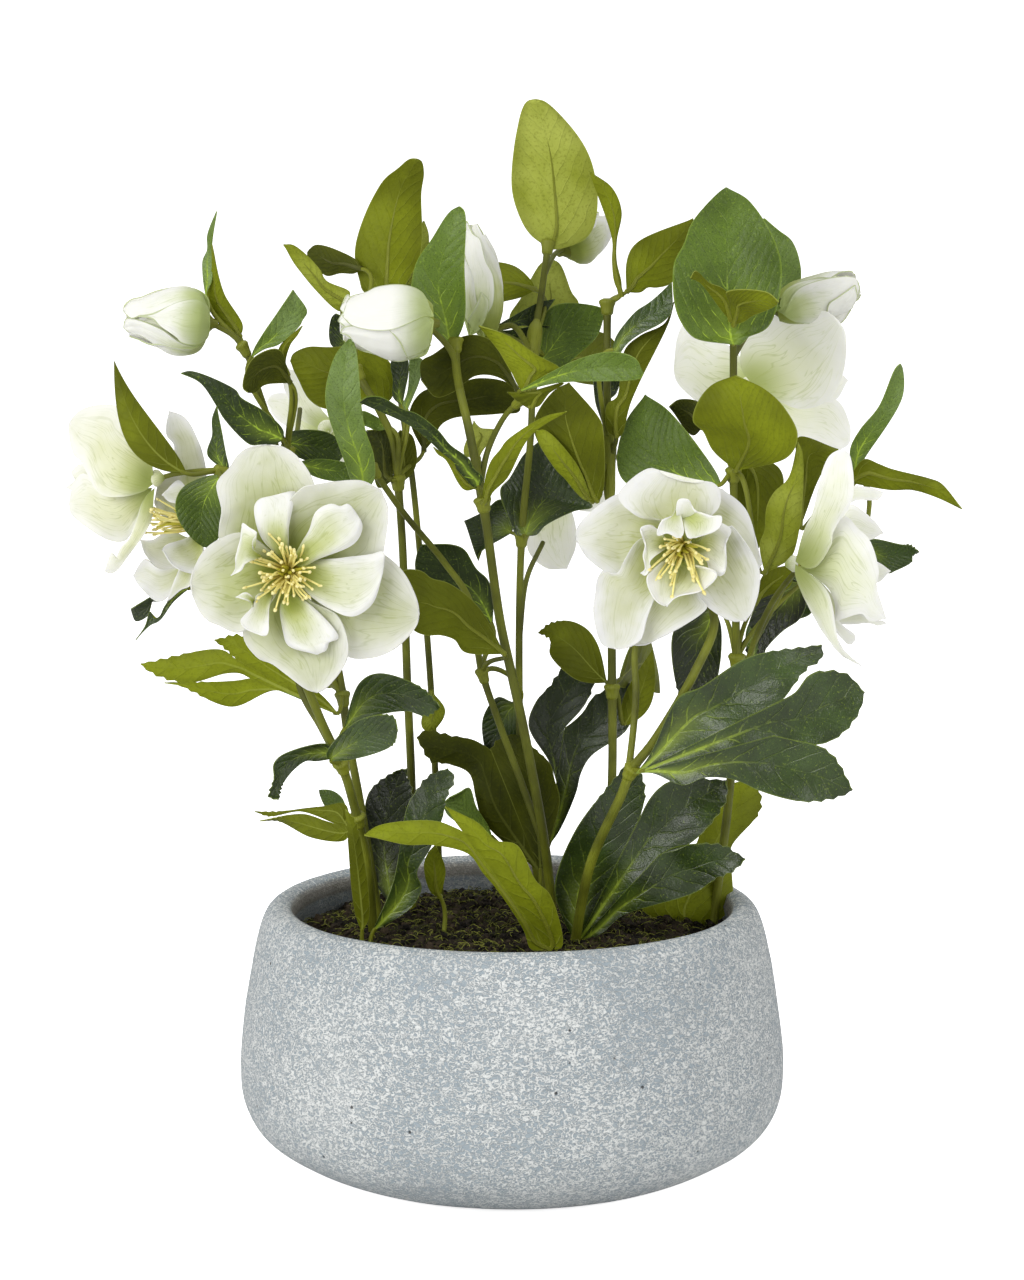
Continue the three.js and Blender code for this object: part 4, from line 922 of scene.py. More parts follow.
# %% [markdown]
# ## Leaf sprays
#
# The table lists each spray: the stem and place it sits on, and its leaves. An outlined leaf has its
# kind, the face that it shows the eye, how far back its base, middle and tip lie, its base and its
# fingers. A finger is the edge up to the tip, the tip and the edge back, and the edges are flat lists,
# two numbers for each point. A leaf by formula has its kind, the face that it shows, base, middle and
# tip, and its width. Each leaf hangs on a stalk that leaves the sleeve and bends into the leaf's own
# direction. Leaves without a stem grow straight out of the soil: `roots` of them have a foot of their
# own, and the last `bare` leaves of a spray have no stalk.

# %% The sprays
sprays = {
    "leaves_top": {"on": ("stem_tall", 0), "at": (15, 165, 60), "leaves": [
        ("pale", "under", (60, 64, 52), (16, 164), [8,170, 4,176, 0,189, 2,214, 6,226], (10, 227), [14,226,
         26,214, 33,202, 36,185, 34,173, 30,168, 19,164]),
    ]},
    "leaves_tall_upper": {"on": ("stem_tall", 0), "at": (9, 120, 32), "collar": 34, "leaves": [
        ("pale", "under", (78, 84, 86), (6, 128), [-1,135, 4,144, 12,158], (16, 160), [20,158, 25,146,
         28,141, 20,132]),
        ("plain", "under", (58, 64, 70), (10, 147), [4,144, -4,142, -9,141], (-14, 149), [-10,158, 1,157,
         8,151]),
        ("dark", "upper", (42, 44, 46), (-10, 130), [12,142], (18, 143), [16,140, 10,132, 4,132, -4,130]),
        ("dark", "upper", (46, 50, 52), (-8, 130), [-2,130, 10,132], (16, 132), [6,122, -4,128]),
        ("dark", "under", (10, 4, 2), (5, 101), [-5,110, -15,111, -25,104, -32,102], (-38, 109), [-38,117,
         -33,120, -22,127, -14,128, -4,122, -2,116]),
        ("plain", "upper", (44, 50, 54), (12, 116), [8,122, 17,140, 36,140], (39, 138), [36,128, 28,120,
         20,114]),
        ("oval", "under", (16, 116, 56), (36, 118, 86), (50, 108, 104), 24),
    ]},
    "leaves_tall_lower": {"on": ("stem_tall", 0), "at": (4, 43, 22), "leaves": [
        ("old", "upper", (18, 26, 30), (5, 44), [2,44, -1,50, -5,63, -1,68, 5,78], (12, 84), [16,77, 21,70,
         26,63, 34,56, 26,54, 14,48, 10,44]),
        ("old", "upper", (26, 30, 32), (0, 45), [-14,36, -14,33], (-20, 50), [-12,54, -5,59, 0,56, 1,50]),
    ]},
    "leaves_middle_top": {"on": ("stem_middle", 0), "at": (-24, 124, -2), "leaves": [
        ("pale", "upper", (-3, -8, -8), (-25, 122), [-26,124, -30,126, -42,146, -42,151, -40,159, -34,168,
         -26,180], (-22, 182), [-20,180, -20,156, -20,134]),
    ]},
    "leaves_middle_fork": {"on": ("stem_middle", 1), "at": (3, 100, -14), "leaves": [
        ("plain", "under", (-14, -12, -8), (5, 104), [3,106, 0,112, -3,117, -6,122], (-14, 132), [-2,128,
         10,120, 20,114, 15,112]),
        ("pale", "upper", (-20, -34, -48), (2, 104), [5,106, 28,118, 42,121, 52,118], (55, 112), [54,110,
         20,108]),
        ("plain", "under", (-16, -18, -20), (7, 98), [4,99], (-2, 104), [6,104, 22,108, 16,104, 11,98]),
    ]},
    "leaves_middle_upper": {"on": ("stem_middle", 0), "at": (-13, 57, -16), "leaves": [
        ("dark", "upper", (-22, -36, -44), (-14, 64), [-16,64, -20,68, -40,88, -60,98], (-64, 100),
         [-61,102, -55,102, -46,97, -40,95, -31,88, -26,82, -18,76, -16,72, -12,68]),
        ("plain", "under", (-21, -27, -33), (-14, 64), [-20,63, -28,76, -31,78], (-33, 81), [-24,74]),
        ("plain", "under", (-24, -36, -44), (-12, 57), [-12,64, -9,75, -5,80, -2,84, 14,94], (23, 96),
         [8,86, -2,68, -8,62, -10,58]),
        ("pale", "under", (-4, 2, 4), (-14, 76), [-20,78], (-16, 92), [-13,89, -6,88, -12,80]),
    ]},
    "leaves_back_left_top": {"on": ("stem_back_left", 0), "at": (-50, 146, 30), "leaves": [
        ("plain", "under", (31, 36, 30), (-50, 146), [-62,146, -64,151, -66,163, -62,178, -54,193, -48,198,
         -43,202], (-40, 202), [-38,201, -37,196, -38,188, -38,164, -40,158, -46,148]),
        ("pale", "under", (40, 52, 58), (-47, 148), [-42,168], (-37, 176), [-35,170, -36,159, -40,151]),
        ("oval", "under", (-48, 150, 40), (-40, 148, 66), (-30, 132, 84), 24),
    ]},
    "leaves_left_crown": {"on": ("stem_middle_left", 0), "at": (-65, 112, 4), "leaves": [
        ("pale", "under", (12, 12, 10), (-70, 142), [-72,138, -90,156], (-96, 166), [-92,166, -81,156,
         -78,151, -68,146]),
        ("dark", "under", (30, 36, 38), (-63, 156), [-66,154, -72,154, -78,153, -86,162], (-85, 164),
         [-82,166, -66,160]),
        ("dark", "upper", (24, 32, 32), (-70, 121), [-76,124, -76,135], (-74, 137), [-70,135, -65,126]),
        ("plain", "under", (16, 20, 26), (-58, 100), [-78,97, -85,101, -90,110, -92,114], (-93, 117),
         [-92,120, -86,123, -78,123, -58,122, -50,114, -51,101]),
    ]},
    "leaves_left_middle": {"on": ("stem_middle_left", 0), "at": (-48, 67, 0), "leaves": [
        ("dark", "under", (14, 24, 30), (-37, 79), [-42,89, -43,96, -38,104, -22,108, -14,110, -2,108],
         (3, 102), [3,96, -5,95, -25,93, -30,90, -33,84]),
        ("pale", "upper", (4, 8, 8), (-44, 96), [-46,98, -44,104], (-43, 118), [-38,118, -38,112]),
        ("dark", "upper", (6, 11, 12), (-46, 98), [-50,102, -50,109, -51,115], (-50, 119), [-44,118]),
        ("pale", "upper", (0, 2, 2), (-51, 89), [-56,88], (-62, 90), [-63,96, -54,92]),
        ("plain", "under", (2, 6, 8), (-46, 66), [-50,70, -51,76, -51,82], (-47, 88), [-42,86, -40,75,
         -42,70]),
        ("dark", "under", (-4, 4, 8), (-50, 67), [-56,64, -59,78, -61,84], (-61, 88), [-51,88]),
    ]},
    "leaves_leaning_top": {"on": ("stem_middle", 3), "at": (-58, 71, -18), "leaves": [
        ("pale", "upper", (-22, -36, -34), (-62, 62), [-66,64, -70,74, -78,98, -78,107, -74,120],
         (-68, 127), [-66,124, -62,90, -58,77, -58,67]),
    ]},
    "leaves_leaning": {"on": ("stem_middle", 3), "at": (-12, -14, 0), "leaves": [
        ("plain", "under", (-26, -38, -46), (-3, -6), [-20,-5, -24,0, -30,2, -36,2, -41,4], (-47, 12),
         [-48,21, -46,29, -38,29, -34,26, -27,24, -17,17, -10,8, -6,0]),
        ("dark", "upper", (24, 20, 16), (-8, 6), [-18,14, -40,28, -40,36], (-38, 40), [-25,40, -20,38,
         -15,30, -10,25, -8,17]),
        ("old", "upper", (16, 22, 24), (4, -25), [5,-34, 1,-42, -5,-44], (-9, -52), [-12,-43, -12,-32,
         -6,-24, 0,-26]),
    ]},
    "leaves_middle_right_top": {"on": ("stem_middle_right", 0), "at": (40, 140, 18), "leaves": [
        ("plain", "under", (18, 16, 14), (46, 144), [43,150, 42,159, 42,168, 34,192], (32, 197), [42,190,
         46,180, 44,168, 44,159, 46,150]),
        ("plain", "under", (26, 32, 38), (48, 146), [48,158, 50,164, 54,168], (76, 177), [75,166, 67,150,
         61,148, 57,148, 54,146]),
    ]},
    "leaves_middle_right_upper": {"on": ("stem_middle_right", 0), "at": (41, 72, 12), "collar": 30,
        "leaves": [
        ("old", "upper", (2, 2, 4), (42, 122), [44,128, 52,138, 58,142], (67, 150), [67,138, 64,134, 53,128,
         48,124, 44,119]),
        ("plain", "under", (7, 6, 8), (44, 85), [40,88, 40,99, 44,102, 46,117, 48,123, 54,128, 64,133],
         (68, 142), [66,134, 50,100, 46,86]),
        ("old", "upper", (18, 26, 28), (39, 88), [35,100], (34, 110), [45,110, 44,104, 40,100]),
        ("plain", "under", (6, -4, -2), (36, 58), [30,59, 22,68, 18,72, 9,90, 17,104], (24, 108), [36,94,
         38,90, 38,61]),
        ("pale", "under", (7, -8, -6), (34, 58), [30,59, 22,68, 18,72, 11,84], (10, 88), [14,88, 27,74]),
        ("oval", "under", (44, 76, 20), (58, 84, 62), (64, 78, 92), 26),
    ]},
    "leaves_middle_right_low": {"on": ("stem_middle_right", 0), "at": (42, -20, 14), "leaves": [
        ("cut", "under", (16, 22, 28), (40, -18), [33,-18, 26,-16, 16,-6, 16,0], (11, 3), [16,7, 24,8, 31,5,
         36,-2]),
        ("lance", "under", (47, -36, 20), (54, -22, 22), (59, -4, 24), 12),
        ("oval", "under", (45, -17, 20), (56, -10, 56), (62, -22, 88), 24),
    ]},
    "leaves_right_top": {"on": ("stem_right", 0), "at": (93, 134, -4), "leaves": [
        ("plain", "upper", (-12, -16, 0), (93, 124), [79,126, 75,128, 69,138, 68,158, 72,166, 76,176,
         88,189], (90, 190), [100,184, 113,159, 108,132, 99,127, 96,124]),
        ("pale", "upper", (14, 34, 42), (98, 134), [96,147, 101,174], (106, 177), [112,172, 118,167,
         121,150, 108,136]),
        ("plain", "under", (-18, -32, -42), (93, 132), [91,142, 90,146, 107,146], (112, 142), [110,140,
         101,136, 98,134]),
        ("plain", "under", (-18, -24, -32), (92, 134), [89,137, 79,150], (75, 152), [77,155, 83,150, 88,148,
         92,144]),
        ("oval", "under", (94, 136, 12), (92, 148, 50), (86, 140, 82), 26),
    ]},
    "leaves_right_upper": {"on": ("stem_right", 0), "at": (93, 69, 2), "leaves": [
        ("plain", "under", (-10, -24, -26), (94, 71), [84,80, 80,88, 76,92, 78,100, 84,107], (94, 111),
         [105,106, 114,98, 120,86, 116,77]),
        ("plain", "upper", (-2, 4, 12), (88, 65), [79,59, 66,58, 54,62, 46,68, 44,76, 48,92], (56, 103),
         [66,96, 86,70]),
        ("dark", "under", (22, 30, 32), (80, 89), [76,86], (66, 98), [70,101, 78,100, 80,95]),
        ("pale", "under", (-12, -20, -14), (106, 28), [104,40, 106,46, 107,56, 110,62, 116,68], (120, 83),
         [122,78, 118,36, 112,31]),
        ("plain", "under", (8, 12, 16), (98, 75), [110,74, 114,68, 108,46], (103, 38), [98,44, 92,63,
         94,72]),
    ]},
    "leaves_far_right": {"on": ("stem_right", 2), "at": (143, 67, 14), "leaves": [
        ("pale", "upper", (12, 8, 2), (143, 70), [142,80, 146,88, 154,98, 161,114], (163, 116), [164,114,
         164,102, 148,76, 146,72]),
        ("plain", "under", (10, 0, -8), (142, 66), [143,70, 148,76, 154,74, 159,72, 175,68, 180,66],
         (189, 55), [178,60, 168,63, 159,63]),
        ("plain", "under", (22, 32, 38), (121, 47), [120,59, 120,72, 120,85], (137, 80), [130,70]),
        ("cut", "upper", (34, 30, 26), (150, 36), [150,42, 164,40, 167,40], (171, 37), [168,35, 168,33,
         161,29, 158,28]),
    ]},
    "leaves_right_low": {"on": ("stem_right", 0), "at": (94, -8, 9), "leaves": [
        ("plain", "under", (14, 12, 10), (102, 15), [106,28], (118, 32), [118,26, 116,22, 106,18]),
        ("old", "upper", (28, 34, 38), (101, -8), [98,0, 100,8], (120, 28), [126,12, 121,9, 114,9, 104,1,
         103,-5]),
        ("shade", "upper", (22, 28, 30), (86, 12), [88,4, 86,-17, 81,-25], (75, -30), [70,-23, 68,4, 75,8,
         81,14]),
        ("shade", "upper", (24, 28, 30), (122, 24), [124,18, 121,9, 114,4, 108,-2, 104,-8], (100, -12),
         [98,0, 104,17, 115,26]),
    ]},
    "leaf_lobed_right": {"on": ("stem_front_right", 0), "at": (50, -55, -56), "leaves": [
        ("cut", "upper", (-62, -74, -64), (52, -56), [58,-48, 70,-24, 79,-20, 100,-7], (130, -2), [130,-8,
         124,-12, 114,-25], [119,-22, 126,-14, 140,-14], (148, -22), [146,-30, 138,-40, 128,-44, 110,-40],
         [130,-45, 136,-50], (143, -63), [137,-66, 123,-68, 103,-63, 97,-60, 90,-58, 80,-58, 72,-61,
         59,-56]),
    ]},
    "leaf_back_right": {"leaves": [
        ("cut", "under", (14, 24, 40), (74, -123), [62,-118, 54,-112, 58,-104, 68,-96, 77,-86, 80,-78,
         86,-67, 92,-60], (100, -60), [104,-64, 104,-72, 92,-87, 92,-94, 92,-112, 86,-118]),
    ]},
    "leaves_lobed_middle": {"roots": 2, "leaves": [
        ("shade", "under", (12, 14, 18), (12, -98), [-12,-76, -15,-67, -18,-56, -27,-52, -34,-51],
         (-40, -41), [-36,-38, -26,-40, -16,-42, -9,-46], [-6,-42, -2,-40], (3, -40), [10,-46, 16,-52,
         18,-59, 20,-67, 16,-84, 14,-92]),
        ("cut", "upper", (34, 38, 44), (15, -87), [18,-78, 20,-66, 16,-52, 7,-36, 10,-26, 16,-19, 21,-12],
         (28, -8), [34,-14, 34,-20, 30,-28, 22,-37], [26,-34, 30,-30, 34,-24, 42,-20], (52, -18), [52,-28,
         48,-38, 33,-49, 29,-56, 27,-64, 20,-80]),
        ("pale", "upper", (8, 8, 8), (-8, -83), [-24,-76, -28,-72, -28,-68], (-26, -66), [-22,-64, -18,-62,
         -15,-70, -10,-78]),
    ]},
    "leaves_front": {"roots": 2, "leaves": [
        ("plain", "under", (-46, -58, -54), (16, -130), [8,-130, 5,-122, -6,-105, -12,-98, -18,-90, -34,-86,
         -44,-86], (-62, -82), [-56,-78, -32,-76, -21,-80], [-24,-76], (-28, -70), [-14,-77, -7,-84, 2,-86,
         10,-101, 16,-107, 21,-129]),
        ("cut", "upper", (-22, -30, -30), (27, -128), [21,-116, 18,-104, 26,-81], (48, -52), [54,-56,
         56,-65, 54,-74], [57,-68, 62,-62, 70,-58], (90, -59), [90,-67, 78,-83, 70,-88, 62,-90], [68,-87,
         88,-86], (98, -92), [93,-97, 86,-100, 77,-106, 46,-116, 38,-123]),
    ]},
    "leaves_front_left": {"roots": 4, "leaves": [
        ("cut", "upper", (-26, -36, -28), (-59, -123), [-50,-102, -44,-70, -40,-63, -35,-57], (-27, -54),
         [-24,-58, -27,-65, -29,-74, -34,-87, -40,-98, -38,-104, -42,-112]),
        ("cut", "under", (-28, -36, -44), (-63, -123), [-66,-114], (-70, -71), [-66,-76, -60,-116]),
        ("plain", "under", (-20, -24, -26), (-30, -108), [-34,-106, -37,-95, -35,-89], (-32, -86),
         [-28,-96]),
        ("shade", "upper", (0, 2, 4), (-50, -112), [-58,-101, -62,-75, -60,-64, -54,-58], (-46, -54),
         [-42,-63, -46,-88, -46,-101]),
    ]},
    "leaf_back_middle": {"bare": 1, "leaves": [
        ("cut", "upper", (26, 40, 44), (-56, -106), [-60,-94, -60,-84, -62,-72, -50,-56], (-44, -54),
         [-44,-63, -52,-103]),
        ("pale", "under", (24, 22, 20), (-34, -21), [-28,-30], (-34, -40), [-38,-36]),
    ]},
    "leaves_lower_left": {"on": ("stem_front_left", 0), "at": (-66, -76, -26), "leaves": [
        ("cut", "under", (-24, -18, -10), (-68, -80), [-70,-84, -84,-83, -98,-76], (-106, -76), [-88,-73,
         -78,-76, -72,-78], [-89,-72, -102,-74], (-108, -72), [-100,-72, -80,-70, -70,-69]),
        ("oval", "upper", (-70, -75, -14), (-75, -68, -4), (-81, -63, 2), 8),
    ]},
    "leaves_left_node": {"on": ("stem_front_left", 0), "at": (-71, -54, -38), "leaves": [
        ("cut", "upper", (-42, -50, -56), (-76, -50), [-82,-51, -87,-51, -96,-60], (-98, -67), [-102,-66,
         -100,-58, -100,-52, -96,-48, -77,-44]),
        ("cut", "upper", (-46, -58, -62), (-71, -38), [-64,-18, -56,-14, -38,-20], (-30, -28), [-36,-32,
         -44,-30, -58,-32]),
        ("cut", "upper", (-50, -66, -74), (-76, -51), [-78,-48, -65,-34, -50,-32], (-48, -38), [-50,-44,
         -66,-50]),
    ]},
    "leaves_left_lobed": {"on": ("stem_left", 0), "at": (-72, -25, -7), "leaves": [
        ("cut", "under", (-20, -20, -14), (-72, -32), [-98,-21, -118,-28, -140,-19], (-146, -18), [-116,-17,
         -110,-16], [-114,-14, -120,-14, -136,-18, -151,-14], (-156, -10), [-122,-4, -116,-8], [-120,-4],
         (-125, 0), [-114,2, -100,-9, -80,-23]),
        ("oval", "under", (-76, -20, 4), (-85, 4, 40), (-92, 18, 68), 24),
        ("old", "upper", (-24, -28, -26), (-135, 22), [-142,16, -148,8, -152,6], (-158, 0), [-154,6,
         -152,12, -150,9, -148,10, -146,14, -140,21]),
        ("old", "upper", (-20, -22, -20), (-140, 24), [-148,16, -151,16, -152,13, -153,10, -158,8],
         (-160, 13), [-152,18]),
    ]},
    "leaves_far_left": {"on": ("stem_front_left", 2), "at": (-122, 71, -34), "leaves": [
        ("lance", "under", (-137, 70, -44), (-156, 87, -48), (-167, 117, -42), 14),
        ("broad", "upper", (-122, 69, -44), (-130, 55, -58), (-129, 39, -60), 23),
        ("dark", "upper", (-31, -28, -26), (-122, 72), [-128,78, -126,86, -126,93], (-124, 98), [-120,78,
         -119,72]),
    ]},
    "leaves_left_upper": {"on": ("stem_left", 0), "at": (-94, 78, -4), "leaves": [
        ("dark", "upper", (-14, -18, -14), (-96, 84), [-100,82, -106,82, -110,82, -121,93, -124,98,
         -131,108], (-139, 112), [-135,113, -116,105, -114,102, -104,96, -96,88]),
        ("dark", "upper", (4, 10, 12), (-96, 82), [-94,87, -81,88, -75,86], (-69, 80), [-74,74, -82,74,
         -94,79]),
        ("oval", "upper", (-90, 74, 2), (-74, 71, 6), (-57, 70, 6), 9),
        ("pale", "upper", (-12, -18, -12), (-110, 118), [-108,123], (-92, 147), [-86,138, -88,134, -89,132,
         -98,124, -104,122]),
        ("dark", "under", (-12, -18, -24), (-93, 108), [-104,107, -108,104], (-111, 104), [-113,106,
         -109,118, -98,122]),
        ("plain", "under", (-12, -15, -17), (-94, 111), [-98,122], (-88, 132), [-90,128, -93,124, -95,117]),
    ]},
    "leaf_bud_left": {"on": ("stem_front_left", 1), "at": (-113, 123, 0), "leaves": [
        ("plain", "under", (3, 6, 6), (-114, 127), [-118,129, -126,138, -128,143, -126,156], (-126, 166),
         [-121,146, -113,132]),
        ("pale", "upper", (2, 5, 6), (-128, 143), [-129,146, -130,159, -128,164, -128,170], (-124, 180),
         [-126,166, -126,151, -128,146]),
    ]},
}

# %% Stalks and sleeves
SOIL_LEVEL = 0.106
ROOTING = 0.012
STALK = 0.001
STALK_STEPS = 14
COLLAR = 7
COLLAR_GAP = 0.0006
SLEEVE = np.array([0.15, 0.75, 0.95, 1.0, 1.02, 1.06, 1.12, 1.22, 1.34, 1.38, 1.2, 0.6])
SLEEVE_SIDES = 12
SLEEVE_SPAN = (-0.6, 0.5)
STALK_SIDES = 8
STALK_TAPER = (1.25, 0.8)
STEM_FINISH = 2
LEAF_TONES = (-0.14, 0.14)


def bend(start, end, way_out, way_in):
    """A smooth stalk from start to end that leaves one way and arrives another: a cubic curve."""
    pull = np.linalg.norm(end - start) * 0.4
    first, second = start + way_out * pull, end - way_in * pull
    t = np.linspace(0, 1, STALK_STEPS)[:, None]
    near = (1 - t) ** 3 * start + 3 * t * (1 - t) ** 2 * first
    return near + 3 * t ** 2 * (1 - t) * second + t ** 3 * end


def sleeve(path, index, length, radius):
    """A sleeve that flares at its upper end, over the point of the stem where leaves join."""
    run = run_of(path)
    where = run[index] + np.linspace(*SLEEVE_SPAN, len(SLEEVE)) * MM * length
    held = np.clip(where, 0, run[-1])
    beyond = (where - held)[:, None] * unit(path[-1] - path[-2])
    return tube(at_lengths(path, held) + beyond, radius * SLEEVE, SLEEVE_SIDES, 0.25, STEM_FINISH)


def spray_surfaces(name, leaves, on=None, at=None, collar=COLLAR, roots=1, bare=0):
    """Every surface of one spray: sleeve, leaves, midribs and stalks."""
    rng = seed_of(name)
    made = []
    if on:
        stem, number = on
        path = stem_paths[stem][number]
        index = nearest(path, sight(*at))
        nodes_on[stem].append(path[index])
        made.append(sleeve(path, index, collar, MM * stems[stem][number][0] + COLLAR_GAP))
    for order, leaf in enumerate(leaves):
        tone = rng.uniform(*LEAF_TONES)
        make = formula_leaf if leaf[0] in OUTLINES else outlined_leaf
        sheets, points = make(*leaf, rng=rng, tone=tone)
        made += sheets
        if order >= len(leaves) - bare:
            continue
        join = points[2, points.shape[1] // 2]
        if on:
            start = path[index]
            up_stem = unit(path[min(index + 1, len(path) - 1)] - path[max(index - 2, 0)])
            way_out = unit(up_stem + 0.8 * unit(join - start))
        else:
            foot = np.append(points[0].mean(axis=0)[:2], SOIL_LEVEL - ROOTING)
            start, way_out = foot if order < roots else root, UP
            root = foot
        route = bend(start, join, way_out, unit(points[3] - points[0]).mean(axis=0))
        thin = STALK * np.linspace(*STALK_TAPER, STALK_STEPS)
        made.append(tube(route, thin, STALK_SIDES, tone + 0.15, STEM_FINISH))
    return made


# %% The sprays, piece by piece
for name, spray in sprays.items():
    piece(name, spray_surfaces(name, **spray), [green_upper, olive_under, stem_green, dark_upper])

# %% The stems themselves
NODE_SWELL = 0.2
NODE_REACH = 0.004
STEM_TAPER = (0.98, 0.8)

for name, routes in stems.items():
    surfaces = []
    for (radius, _), path in zip(routes, stem_paths[name]):
        gaps = [np.linalg.norm(path - node, axis=1) for node in nodes_on[name]]
        swell = sum(np.exp(-(gap / NODE_REACH) ** 2) for gap in gaps)
        thick = MM * radius * np.linspace(*STEM_TAPER, len(path)) * (1 + NODE_SWELL * np.minimum(swell, 1))
        surfaces.append(tube(path, thick))
    piece(name, surfaces, [stem_green])

# %% [markdown]
# ## Blossoms
#
# Three to eight broad sepals make each flower, as many as the eye can tell apart, and the two blossoms
# that face forward have smaller, more tightly cupped petals inside them. They are soft fabric, and
# every blossom is bent in its own way, so each petal is given by outline: how far back it lies at the
# heart, halfway and at the tip, its heart end, the edge up to the tip, the tip, the edge back, and then
# how deep it is scooped along its middle and how far its rim curls. In four of the blossoms a tuft of
# stamens stands round a few green carpels.

